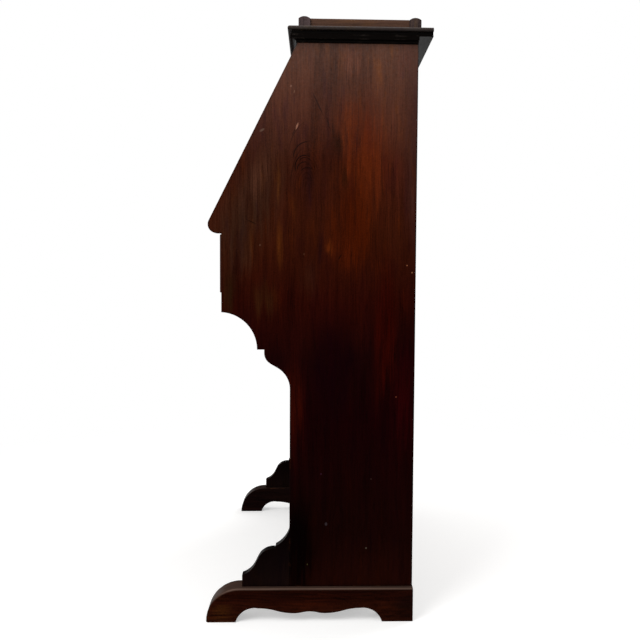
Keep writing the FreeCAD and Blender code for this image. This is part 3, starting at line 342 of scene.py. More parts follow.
class Grain(Enum):
    """The way a board lies: the numbers of the directions of its width, thickness and length.

    0, 1 and 2 are X, Y and Z, 3 is up the fall's slope and 4 is square to it.
    """

    UPRIGHT_SIDE = (1, 0, 2)
    UPRIGHT_BACK = (0, 1, 2)
    ACROSS_FLAT = (1, 2, 0)
    ACROSS_FRONT = (2, 1, 0)
    DEEP_SIDE = (2, 0, 1)
    DEEP_FLAT = (0, 2, 1)
    SLOPE_PANEL = (3, 4, 0)
    SLOPE_CLEAT = (0, 4, 3)


@dataclass(frozen=True)
class Streaks:
    """Noise drawn out along the grain: its turns in a metre across and along it, and its detail.

    Its light is how much it lightens and darkens the wood.
    """

    across: float
    along: float
    detail: float = 2.0
    rough: float = 0.5
    light: float = 0.0


@dataclass(frozen=True)
class Patch:
    """A soft area of another colour on a side board, by its middle and its half sizes."""

    y: float
    z: float
    wide: float
    high: float
    colour: Colour
    share: float
    turn: float = 0.0


@dataclass(frozen=True)
class Dent:
    """A small knock or scratch on a side board that shows paler or darker wood; one long dark one is
    painted shade along the back edge.
    """

    y: float
    z: float
    wide: float
    high: float
    turn: float
    colour: Colour
    share: float = 0.9


@dataclass(frozen=True)
class Vein:
    """A dark curved ring line on a side board, part of an oval about a place."""

    y: float
    z: float
    wide: float
    high: float
    thick: float
    middle: float
    limit: float
    share: float = 0.5


@dataclass(frozen=True)
class Tails:
    """The dovetails of a drawer's sides, let into the ends of its front."""

    front: float
    back: float
    low: float
    high: float
    count: int
    reach: float = 1.0
    colour: Colour = tone(128, 92, 56)
    joint: Colour = tone(22, 10, 6)


FINE = Streaks(430.0, 12.0, 3.0, 0.6, 1.2)
BROAD = Streaks(95.0, 6.0, 3.0, 0.55, 0.8)
RIBBON = Streaks(26.0, 3.0, light=0.7)
CLOUD = Streaks(7.0, 3.0, 3.0, light=0.5)
PORES = Streaks(900.0, 42.0, 0.0)
HUE = Streaks(55.0, 9.0, 3.0, 0.6)
BEND = Streaks(7.0, 2.6)
RIPPLE = Streaks(22.0, 17.0)
# Noise levels between which pores open, and the wood turns golden, turns plum or is rubbed bare
PORE_OPEN, GOLD_HUE, PLUM_HUE, RUBBED_BARE = (0.6, 0.74), (0.54, 0.74), (0.46, 0.3), (0.52, 0.7)
GOLD_TINT, PLUM_TINT = (1.55, 1.4, 0.75), (0.7, 0.66, 1.1)
# The first colour is the ring lines' own dark; the second is painted shade along the edges
VEIN_DARK, EDGE_SHADE = tone(16, 6, 5), tone(10, 5, 4)
# Cosines between which an edge fades in, and between which a face counts as level
EDGE_BEND, LEVEL_FACE = (0.995, 0.86), (0.8, 0.98)
# The height that a share of 1 means in the finishes, and the right side board's outer face
TALL, NEAR_FACE = 1.16, 0.3675
# Half sizes along X of a patch, which runs through its board, and of a dent in its outer face
THROUGH, SKIN = 9.0, 0.004
# How high one unit of a wood's relief stands
GRAIN_LIFT = 0.0002


@dataclass(frozen=True)
class Look:
    """The values that the steps of one wood finish share."""

    bench: Bench
    place: Wire
    facing: Wire
    run: tuple[Wire, Wire, Wire]
    fine: Wire
    broad: Wire
    ribbon: Wire
    cloud: Wire
    pores: Wire


@dataclass(frozen=True)
class Wood:
    """Polished or plain wood, with its figure, pores, worn edges, painted shade along its edges and
    end grain.

    The tones and the polish are given by height, as shares of TALL. The flame is the foot of the
    arched ring lines, by width and length; the top highlight is a paler colour painted on upper
    faces as a highlight, with its share.
    """

    name: str
    grain: Grain
    tones: tuple[tuple[float, Colour], ...]
    seed: float = 0.0
    streak: float = 1.0
    figure: float = 0.35
    ring_gap: float = 0.035
    flame: tuple[float, float] = (0.0, 0.0)
    arch: float = 0.16
    flame_reach: float = 0.7
    fade: float = 0.6
    pore: float = 0.45
    shine: float = 0.04
    drift: float = 0.12
    bend: float = 0.02
    ripple: float = 0.005
    arris: float = 0.0016
    # How strongly shade is painted along the edges
    arris_shade: float = 0.4
    rubbed: Colour = tone(120, 72, 44)
    wear: float = 0.35
    dull: float = 0.36
    polish: tuple[tuple[float, float], ...] = ((0.0, 0.12), (1.0, 0.12))
    board: float = 0.0
    patches: tuple[Patch, ...] = ()
    dents: tuple[Dent, ...] = ()
    veins: tuple[Vein, ...] = ()
    tails: Tails | None = None
    # A paler colour painted on upper faces as a highlight, and its share
    top_highlight: tuple[Colour, float] = (tone(120, 96, 84), 0.0)
    soft_edge: float = 0.0009

    def ways(self, parts: tuple[Wire, Wire, Wire], at: np.ndarray) -> list[Wire]:
        """The parts of a vector, and for a board of the fall also those along and off its slope.

        Args:
            parts: the vector's X, Y and Z.
            at: the place that the slope's own parts are taken from.

        Returns:
            Three or five values, numbered as in Grain: the last two are sums of Y and Z times the
            sine and the cosine of the slope's lean.
        """
        ways = list(parts)
        if max(self.grain.value) > 2:
            y, z = (part - float(shift) if shift else part
                    for part, shift in zip(parts[1:], at[1:]))
            ways.append(y * float(UP_SLOPE[1]) + z * float(UP_SLOPE[2]))
            ways.append(z * float(UP_SLOPE[1]) - y * float(UP_SLOPE[2]))
        return ways

    def run(self, bench: Bench, place: Wire) -> tuple[Wire, Wire, Wire]:
        """Measures places along the board's own width, thickness and length.

        A bend and a ripple shift the width, and each narrower board that it is made of has its own
        grain.

        Args:
            bench: the material's bench.
            place: places on the piece.

        Returns:
            The three measures.
        """
        ways = self.ways(bench.parts(place), HINGE)
        width, thick, length = run = tuple(ways[index] for index in self.grain.value)
        bend = bench.streaks(run, BEND) - 0.5
        ripple = bench.streaks(run, RIPPLE) - 0.5
        width = width + bend * self.bend + ripple * self.ripple
        if self.board:
            number = bench.sum_of("FLOOR", (width + 10.0) / self.board)
            length = length + number * 1.37
            width = width + number * 0.083
        return width, thick, length + self.seed

    def look(self) -> Look:
        """Starts the material.

        Returns:
            What its steps share.
        """
        bench = Bench(bpy.data.materials.new(self.name))
        place = bench.place()
        run = self.run(bench, place)
        noises = [bench.streaks(run, kind) for kind in (FINE, BROAD, RIBBON, CLOUD)]
        pores = bench.smooth(bench.streaks(run, PORES), *PORE_OPEN)
        facing = bench.node("ShaderNodeTexCoord", {}, {}, "Normal")
        return Look(bench, place, facing, run, *noises, pores)

    def make(self) -> bpy.types.Material:
        """Mixes the wood.

        Returns:
            The material.
        """
        look = self.look()
        bench = look.bench
        z = bench.parts(look.place)[2]
        colour = bench.ramp((z + (look.cloud - 0.5) * self.drift) / TALL, self.tones)
        colour = self.stained(look, colour)
        colour = self.figured(look, colour)
        colour = self.paint_top_highlight(look, colour)
        if self.tails:
            colour = self.dovetailed(look, colour)
        colour, edge = self.edged(look, colour)
        colour, dented = self.dented(look, colour)
        height = look.fine * 0.12 - look.pores * 0.35 * self.pore - dented * 1.5
        level = bench.smooth(bench.parts(look.facing)[2], *LEVEL_FACE)
        rough = (0.5 - look.broad) * 0.12 + self.dull + look.pores * 0.1 + edge * 0.06 + level * 0.3
        settings = {"Coat Weight": self.coat(look, level), "Coat Roughness": 0.3,
                    "Specular IOR Level": self.shine, "Specular Tint": (1.0, 0.7, 0.6, 1.0)}
        return bench.finish(colour, rough, height, GRAIN_LIFT, settings, self.soft_edge)

    def stained(self, look: Look, colour: Wire) -> Wire:
        """Lays the patches and the ring lines of a side board over its colour.

        Args:
            look: what the steps share.
            colour: the colour so far.

        Returns:
            The colour with them.
        """
        bench = look.bench
        x, y, z = bench.parts(look.place)
        loose = bench.vector(x, y + (look.ribbon - 0.5) * 0.04, z + (look.broad - 0.5) * 0.1)
        fleck = (look.broad - 0.5) * 2.0 + (look.fine - 0.5) * 1.4 + 1.1
        for patch in self.patches:
            at, half = (0.0, patch.y, patch.z), (THROUGH, patch.wide, patch.high)
            share = bench.spot(loose, at, half, patch.turn, 0.0) * fleck * patch.share
            colour = bench.mix(bench.smooth(share, 0.0, 1.0), colour, patch.colour)
        for vein in self.veins:
            at, half = (0.0, vein.y, vein.z), (THROUGH, vein.wide, vein.high)
            line = bench.arc(look.place, at, half, vein.thick, vein.middle, vein.limit)
            share = line * bench.smooth(look.broad, 0.2, 0.45) * vein.share
            colour = bench.mix(share, colour, VEIN_DARK)
        return colour

    def figured(self, look: Look, colour: Wire) -> Wire:
        """Gives the colour its grain, rings, pores, golden and plum streaks and dark end grain.

        Args:
            look: what the steps share.
            colour: the colour so far.

        Returns:
            The figured colour.
        """
        bench = look.bench
        mottle = bench.noise(look.place, 380.0, 2.0, 0.6)
        light = (mottle - 0.5) * 0.7 + (look.fine - 0.5) * FINE.light
        light = light + (look.broad - 0.5) * BROAD.light
        light = light + (look.ribbon - 0.5) * RIBBON.light + (look.cloud - 0.5) * CLOUD.light
        light = light * self.streak + 1.0 - self.rings(look) * self.figure
        colour = bench.scaled(colour, light - look.pores * self.pore * 0.5)
        hue = bench.streaks(look.run, HUE)
        for levels, tint in ((GOLD_HUE, GOLD_TINT), (PLUM_HUE, PLUM_TINT)):
            tinted = bench.mix(1.0, colour, tint, "MULTIPLY")
            colour = bench.mix(bench.smooth(hue, *levels) * 0.6, colour, tinted)
        return bench.scaled(colour, 1.0 - self.end_grain(look) * 0.45)

    def rings(self, look: Look) -> Wire:
        """Dark ring lines, drawn as nested arches above the flame's foot and straight below it.

        There is one line to each ring gap of the radius. The radius is the root of the squares of
        the height over the foot and of the distance aside over the arch's narrowness.

        Args:
            look: what the steps share.

        Returns:
            1 on a line and 0 off it.
        """
        bench = look.bench
        width, thick, length = look.run
        slow = bench.vector(width * 9.0, thick * 9.0, length * 9.0 * self.arch)
        waver = bench.noise(slow, 2.0, 3.0) - 0.5
        gust = bench.noise(slow, 7.0, 2.0)
        aside = (width - self.flame[0]) / self.arch + waver * self.ring_gap * 8.0
        above = bench.sum_of("MAXIMUM", length - self.seed - self.flame[1], 0.0)
        radius = (aside * aside + above * above) ** 0.5
        turns = (radius + thick * 0.4) * (math.tau / self.ring_gap) + waver * 16.0
        line = (bench.sum_of("SINE", turns) * 0.5 + 0.5) ** 2.2 * bench.smooth(gust, 0.3, 0.6)
        below = bench.sum_of("MAXIMUM", self.flame[1] + self.seed - length, 0.0)
        reach = radius + below * self.fade
        return line * bench.smooth(reach, self.flame_reach, self.flame_reach * 0.35)

    def end_grain(self, look: Look) -> Wire:
        """Finds the faces that cut across the grain.

        Args:
            look: what the steps share.

        Returns:
            1 on them and 0 on the others.
        """
        bench = look.bench
        ways = self.ways(bench.parts(look.facing), np.zeros(3))
        return bench.smooth(bench.sum_of("ABSOLUTE", ways[self.grain.value[2]]), 0.7, 0.95)

    def paint_top_highlight(self, look: Look, colour: Wire) -> Wire:
        """Paints a highlight on the upper faces, most of all where they turn outwards.

        Args:
            look: what the steps share.
            colour: the colour so far.

        Returns:
            The colour with the painted highlight.
        """
        bench = look.bench
        outward, _, up = bench.parts(look.facing)
        # Painted highlight: a paler colour on faces that look up, broken by a noise
        top_highlight = bench.smooth(up, 0.4, 0.85) * ((look.broad - 0.5) * 1.4 + 1.0) * self.top_highlight[1]
        top_highlight = top_highlight * (bench.smooth(bench.sum_of("ABSOLUTE", outward), 0.1, 0.5) * 0.6 + 0.4)
        return bench.mix(top_highlight, colour, self.top_highlight[0])

    def edged(self, look: Look, colour: Wire) -> tuple[Wire, Wire]:
        """Paints shade along the edges and rubs some of them bare.

        Args:
            look: what the steps share.
            colour: the colour so far.

        Returns:
            The colour, and 1 at the edges: there the rounded direction departs from the face's own.
        """
        bench = look.bench
        rounded = bench.node("ShaderNodeBevel", {"samples": 4}, {"Radius": self.arris})
        flat = bench.node("ShaderNodeNewGeometry", {}, {}, "Normal")
        edge = bench.smooth(bench.dot(rounded, flat), *EDGE_BEND)
        rub = bench.smooth(bench.noise(look.place, 46.0, 3.0), *RUBBED_BARE)
        # Painted shade along the edges where they are not rubbed bare; the rubbing is wear
        colour = bench.mix(edge * (1.0 - rub) * self.arris_shade, colour, EDGE_SHADE)
        return bench.mix(edge * rub * self.wear, colour, self.rubbed), edge

    def dented(self, look: Look, colour: Wire) -> tuple[Wire, Any]:
        """Marks the knocks and scratches, and a line of painted shade down the back edge.

        Args:
            look: what the steps share.
            colour: the colour so far.

        Returns:
            The colour, and the depth of the marks.
        """
        bench = look.bench
        depth: Any = 0.0
        for dent in self.dents:
            at, half = (NEAR_FACE, dent.y, dent.z), (SKIN, dent.wide, dent.high)
            share = bench.spot(look.place, at, half, dent.turn, 0.35) * dent.share
            colour = bench.mix(share, colour, dent.colour)
            depth = share + depth
        return colour, depth

    def coat(self, look: Look, level: Wire) -> Wire:
        """Works out the polish: by height, thin on level faces and broken by a noise.

        Args:
            look: what the steps share.
            level: 1 on level faces and 0 on upright ones.

        Returns:
            The share of polish.
        """
        bench = look.bench
        stops = tuple((at, (share, share, share)) for at, share in self.polish)
        coat = bench.ramp(bench.parts(look.place)[2] / TALL, stops) * (1.0 - level * 0.9)
        return coat * (bench.noise(look.place, 150.0, 3.0, 0.6) * 1.6 + 0.2)

    def dovetailed(self, look: Look, colour: Wire) -> Wire:
        """Shows the tails of the drawer's side on the end of its front.

        A tail's half width shrinks in a straight line from its root at the front's back to its end.

        Args:
            look: what the steps share.
            colour: the colour of the front.

        Returns:
            The colour with tails and the dark joint round them.
        """
        bench, tails = look.bench, self.tails
        x, y, z = bench.parts(look.place)
        outward = bench.parts(look.facing)[0]
        pitch = (tails.high - tails.low) / tails.count
        depth = (y - tails.front) / (tails.back - tails.front)
        aside = bench.sum_of("ABSOLUTE", bench.sum_of("FRACT", (z - tails.low) / pitch) - 0.5)
        inside = bench.sum_of("MINIMUM", (0.38 - depth * 0.1 - aside) * pitch, y - tails.front)
        level = bench.sum_of("MINIMUM", z - tails.low, tails.high - z)
        inside = bench.sum_of("MINIMUM", inside, level)
        end = bench.smooth(bench.sum_of("ABSOLUTE", outward), 0.9, 0.98)
        end = end * bench.smooth(bench.sum_of("ABSOLUTE", x), tails.reach + 0.0005, tails.reach)
        own = bench.scaled(bench.mix(1.0, colour, tails.colour), look.fine * 0.8 + 0.6)
        colour = bench.mix(end * bench.smooth(inside, 0.0, 0.0003), colour, own)
        near = bench.smooth(bench.sum_of("ABSOLUTE", inside), 0.0006, 0.0002)
        return bench.mix(end * near * 0.8, colour, tails.joint)


@dataclass(frozen=True)
class Metal:
    """Brass or steel with tarnish in patches and fine rubbing marks."""

    name: str
    bright: Colour
    tarnish: Colour
    dull: float = 0.28
    spread: float = 0.5
    blotches: float = 90.0
    specks: float = 700.0

    def make(self) -> bpy.types.Material:
        """Mixes the metal.

        Returns:
            The material.
        """
        bench = Bench(bpy.data.materials.new(self.name))
        place = bench.place()
        blotch = bench.noise(place, self.blotches, 4.0, 0.65)
        speck = bench.noise(place, self.specks, 2.0)
        dark = bench.smooth(blotch + (speck - 0.5) * 0.3, 0.62, 0.36) * self.spread
        colour = bench.mix(dark, self.bright, self.tarnish)
        rough = dark * 0.3 + self.dull + (speck - 0.5) * 0.1
        height = blotch * 0.4 + speck * 0.2
        return bench.finish(colour, rough, height, 0.00015, {"Metallic": 1.0}, 0.0004)


@dataclass(frozen=True)
class Leather:
    """Writing leather with a pebbled grain and a tooled border of two lines and a row of dots.

    The foot and the head are its ends up the slope; the border, the second line and the dots lie
    in from its edge, the last two from the border.
    """

    name: str
    colour: Colour
    worn: Colour
    gold: Colour
    half_width: float = 0.26
    foot: float = 0.048
    head: float = 0.3006
    border: float = 0.012
    second_line: float = 0.0055
    dots: float = 0.0028
    dot_radius: float = 0.0011
    pebbles: float = 900.0

    def make(self) -> bpy.types.Material:
        """Mixes the leather.

        The border follows the least distance to an edge of the skin: a line lies where that
        distance is within a half width of the line's own.

        Returns:
            The material.
        """
        bench = Bench(bpy.data.materials.new(self.name))
        place = bench.place()
        x, y, z = bench.parts(place)
        up = (y - float(HINGE[1])) * float(UP_SLOPE[1]) + (z - float(HINGE[2])) * float(UP_SLOPE[2])
        aside = self.half_width - bench.sum_of("ABSOLUTE", x)
        ends = bench.sum_of("MINIMUM", up - self.foot, self.head - up)
        inset = bench.sum_of("MINIMUM", aside, ends)
        outer = bench.smooth(bench.sum_of("ABSOLUTE", inset - self.border), 0.0008, 0.0004)
        inner = bench.sum_of("ABSOLUTE", inset - self.border - self.second_line)
        inner = bench.smooth(inner, 0.0005, 0.0002)
        along = bench.sum_of("MAXIMUM", aside, ends)
        beat = bench.sum_of("PINGPONG", along, self.dot_radius * 2) - self.dot_radius
        across = inset - self.border - self.dots
        dots = bench.smooth((beat * beat + across * across) ** 0.5, self.dot_radius, 0.0007)
        tooled = bench.sum_of("MAXIMUM", bench.sum_of("MAXIMUM", outer, inner), dots)
        rub = bench.noise(place, 38.0, 4.0, 0.6)
        tooled_left = tooled * bench.smooth(rub, 0.34, 0.46)
        pebbles = {"Vector": place, "Scale": self.pebbles}
        pebble = bench.node("ShaderNodeTexVoronoi", {"feature": "SMOOTH_F1"}, pebbles, "Distance")
        wrinkle = bench.noise(place, 240.0, 4.0, 0.6)
        stain = bench.noise(place, 9.0, 4.0, 0.6)
        colour = bench.mix(bench.smooth(stain, 0.35, 0.72), self.colour, self.worn)
        colour = bench.scaled(colour, 1.15 - pebble * 0.5)
        colour = bench.mix(tooled_left, colour, self.gold)
        rough = 0.52 + (stain - 0.5) * 0.25 - tooled_left * 0.2
        height = wrinkle * 0.5 - pebble * 0.5 - tooled * 1.2
        return bench.finish(colour, rough, height, 0.00025, {"Specular IOR Level": 0.3})


@dataclass
class Shell:
    """Points and four-sided faces of one surface."""

    points: np.ndarray
    faces: np.ndarray

    def placed(self, right: np.ndarray, ahead: np.ndarray, up: np.ndarray, at: np.ndarray) -> "Shell":
        """Stands the surface on its own axes at a place.

        Args:
            right, ahead, up: where its X, Y and Z are to point.
            at: where its origin is to be.

        Returns:
            The moved surface: each point is the sum of its parts times the axes.
        """
        turn = np.array([right, ahead, up], float)
        return Shell(self.points @ turn + np.asarray(at, float), self.faces)


def woven(points: np.ndarray, closed: tuple[bool, bool]) -> Shell:
    """Lays four-sided faces over a grid of points.

    Args:
        points: rows by columns by three.
        closed: whether the last row meets the first, and the last column the first.

    Returns:
        The surface: each face joins a point, its neighbours along the row and the column, and the
        one across.
    """
    rows, columns = points.shape[:2]
    index = np.arange(rows * columns).reshape(rows, columns)
    down = np.roll(index, -1, 0)[: rows if closed[0] else rows - 1]
    here = index[: down.shape[0]]
    width = columns if closed[1] else columns - 1
    corners = (here, down, np.roll(down, -1, 1), np.roll(here, -1, 1))
    faces = np.stack([corner[:, :width].ravel() for corner in corners], 1)
    return Shell(points.reshape(-1, 3), faces)


def turned(profile: list[tuple[float, float]], sides: int = 40) -> Shell:
    """Turns a profile about Z.

    Args:
        profile: radius and height of each point, from one end to the other.
        sides: how many steps go round.

    Returns:
        The surface: radius times cosine, radius times sine, height.
    """
    radius, height = np.array(profile, float).T
    angle = np.linspace(0.0, math.tau, sides, endpoint=False)
    points = np.stack(
        [radius[:, None] * np.cos(angle), radius[:, None] * np.sin(angle),
         np.repeat(height[:, None], sides, 1)], 2,
    )
    return woven(points, (False, True))


def tube(path: np.ndarray, radius: np.ndarray, normal: np.ndarray, sides: int = 16,
         closed: bool = False) -> Shell:
    """Carries a circle along a path that lies in one plane.

    Args:
        path: the points of the middle line.
        radius: the circle's radius at each point.
        normal: the direction square to the plane of the path.
        sides: how many steps go round the circle.
        closed: whether the path meets itself.

    Returns:
        The surface: the middle line plus radius times cosine of the normal and sine of the other
        direction square to the path.
    """
    if closed:
        ahead = np.roll(path, -1, 0) - np.roll(path, 1, 0)
    else:
        ahead = np.gradient(path, axis=0)
    ahead /= np.linalg.norm(ahead, axis=1)[:, None]
    other = np.cross(ahead, normal)
    angle = np.linspace(0.0, math.tau, sides, endpoint=False)
    ring = np.cos(angle)[None, :, None] * normal + np.sin(angle)[None, :, None] * other[:, None, :]
    points = path[:, None, :] + radius[:, None, None] * ring
    return woven(points, (closed, True))


def screw_head(radius: float, rise: float, turn: float, sides: int = 24) -> Shell:
    """A domed screw head with a slot.

    Args:
        radius: its radius.
        rise: how high its middle stands.
        turn: the way its slot points, in radians.
        sides: how many steps go round.

    Returns:
        The surface: a dome, height falling with the square of the radius, less a slot where the
        distance from a line through the middle is small.
    """
    reach = np.concatenate([np.linspace(0.0, 1.0, 9), [1.0]])
    angle = np.linspace(0.0, math.tau, sides, endpoint=False)
    x = radius * reach[:, None] * np.cos(angle)
    y = radius * reach[:, None] * np.sin(angle)
    aside = np.abs(-x * math.sin(turn) + y * math.cos(turn)) / radius
    slot = 1.0 - np.clip((aside - 0.1) / 0.1, 0.0, 1.0)
    height = rise * (1.2 - reach[:, None] ** 2) - slot * rise * 1.1
    height[-1] = -rise
    return woven(np.stack([x, y, height], 2), (False, True))


def piece(name: str, shells: list[Shell], body: str, material: bpy.types.Material,
          stands_for: tuple[str, ...] = (), crease: float = 35.0) -> bpy.types.Object:
    """Makes one object of several surfaces and lets it move with a body.

    Args:
        name: the object's name.
        shells: its surfaces.
        body: the body that carries it.
        material: its material.
        stands_for: the plain nodes that it takes the place of.
        crease: the angle past which an edge stays sharp, in degrees.

    Returns:
        The object.
    """
    starts = np.cumsum([0] + [len(shell.points) for shell in shells[:-1]])
    points = np.concatenate([shell.points for shell in shells])
    faces = np.concatenate([shell.faces + start for shell, start in zip(shells, starts)])
    mesh = bpy.data.meshes.new(name)
    mesh.from_pydata(points.tolist(), [], faces.tolist())
    made = bpy.data.objects.new(name, mesh)
    bpy.context.scene.collection.objects.link(made)
    close_seams(mesh)
    mesh.polygons.foreach_set("use_smooth", np.ones(len(mesh.polygons), bool))
    mesh.set_sharp_from_angle(angle=math.radians(crease))
    mesh.materials.append(material)
    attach(made, body)
    if stands_for:
        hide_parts(*stands_for)
    log.info("%s: %d faces on %s", name, len(mesh.polygons), body)
    return made


def close_seams(mesh: bpy.types.Mesh) -> None:
    """Merges doubled points, fills open ends and points all faces outwards.

    Args:
        mesh: the mesh, which is changed.
    """
    work = bmesh.new()
    work.from_mesh(mesh)
    bmesh.ops.remove_doubles(work, verts=work.verts, dist=1e-6)
    open_edges = [edge for edge in work.edges if edge.is_boundary]
    if open_edges:
        bmesh.ops.holes_fill(work, edges=open_edges)
    bmesh.ops.recalc_face_normals(work, faces=work.faces)
    work.to_mesh(mesh)
    work.free()


def dress(material: bpy.types.Material, *nodes: str) -> None:
    """Gives a material to pieces of the frame."""
    for name in nodes:
        for held in frame["nodes"][name].material_slots:
            held.material = material


# Colours by height, as shares of TALL; where some carry painted shade or sheen, it is noted at each
# The side tones darken towards the floor: painted shade where the light falls off low on the sides,
# over the wood's own darker tone. Their pale mauve top is painted sheen over the wood's colour.
SIDE_TONES_WITH_SHADE_AND_SHEEN = (
    (0.0, tone(34, 9, 4)), (0.14, tone(19, 3, 2)), (0.34, tone(19, 1, 2)), (0.44, tone(22, 3, 3)),
    (0.53, tone(38, 7, 3)), (0.64, tone(50, 17, 6)), (0.75, tone(54, 20, 10)),
    (0.84, tone(70, 36, 24)), (0.95, tone(76, 44, 30)),
)
SHOW_TONES = (
    (0.0, tone(26, 5, 3)), (0.45, tone(44, 11, 5)), (0.65, tone(60, 22, 10)),
    (0.97, tone(76, 36, 20)),
)
NEST_TONES = ((0.6, tone(86, 38, 18)), (0.9, tone(98, 46, 24)))
# The black is painted shade under the top's rounded lip, together with a dark stain; the pale last
# stop is a painted highlight where the top's rounded upper edge catches the light
BLACK_SHADE_AND_HIGHLIGHT_TONES = ((0.9, tone(3, 2, 2)), (0.9665, tone(4, 3, 2)), (0.9695, tone(66, 54, 50)))
POST_TONES = ((0.9, tone(54, 42, 42)), (0.985, tone(68, 55, 55)))
RAIL_TONES = ((0.9, tone(62, 41, 32)), (0.985, tone(78, 54, 42)))
FOOT_TONES = (
    (0.0, tone(44, 16, 7)), (0.03, tone(36, 10, 4)), (0.06, tone(28, 7, 3)), (0.15, tone(12, 3, 2)),
)
# Dark tones: on the left foot painted shade, for it stands in shadow; on the brackets painted shade
# over the wood's own dark tone
DARK_AND_SHADED_TONES = (
    (0.0, tone(22, 9, 7)), (0.055, tone(18, 8, 7)), (0.1, tone(10, 4, 4)), (0.15, tone(5, 1, 1)),
)
LINING_TONES = ((0.0, tone(112, 78, 48)), (0.6, tone(140, 102, 64)), (0.9, tone(146, 108, 70)))
BACK_TONES = ((0.0, tone(58, 36, 24)), (0.9, tone(72, 46, 32)))
SIDE_POLISH = ((0.0, 0.0), (0.6, 0.0), (0.76, 0.02), (0.85, 0.14), (0.95, 0.42))
NO_POLISH = ((0.0, 0.0), (1.0, 0.0))
# What the plain, the matt and the black woods have in common; the black woods are dark polish with
# painted shade and, on the top, a painted highlight
PLAIN = {"dull": 0.62, "polish": NO_POLISH, "rubbed": tone(150, 116, 78), "wear": 0.2}
MATT = {"shine": 0.008, "polish": NO_POLISH}
BLACK = {"tones": BLACK_SHADE_AND_HIGHLIGHT_TONES, "rubbed": tone(66, 58, 54), "wear": 0.6, "streak": 0.5, "figure": 0.1,
         "shine": 0.02, "polish": ((0.964, 0.02), (0.972, 0.5)), "drift": 0.0}

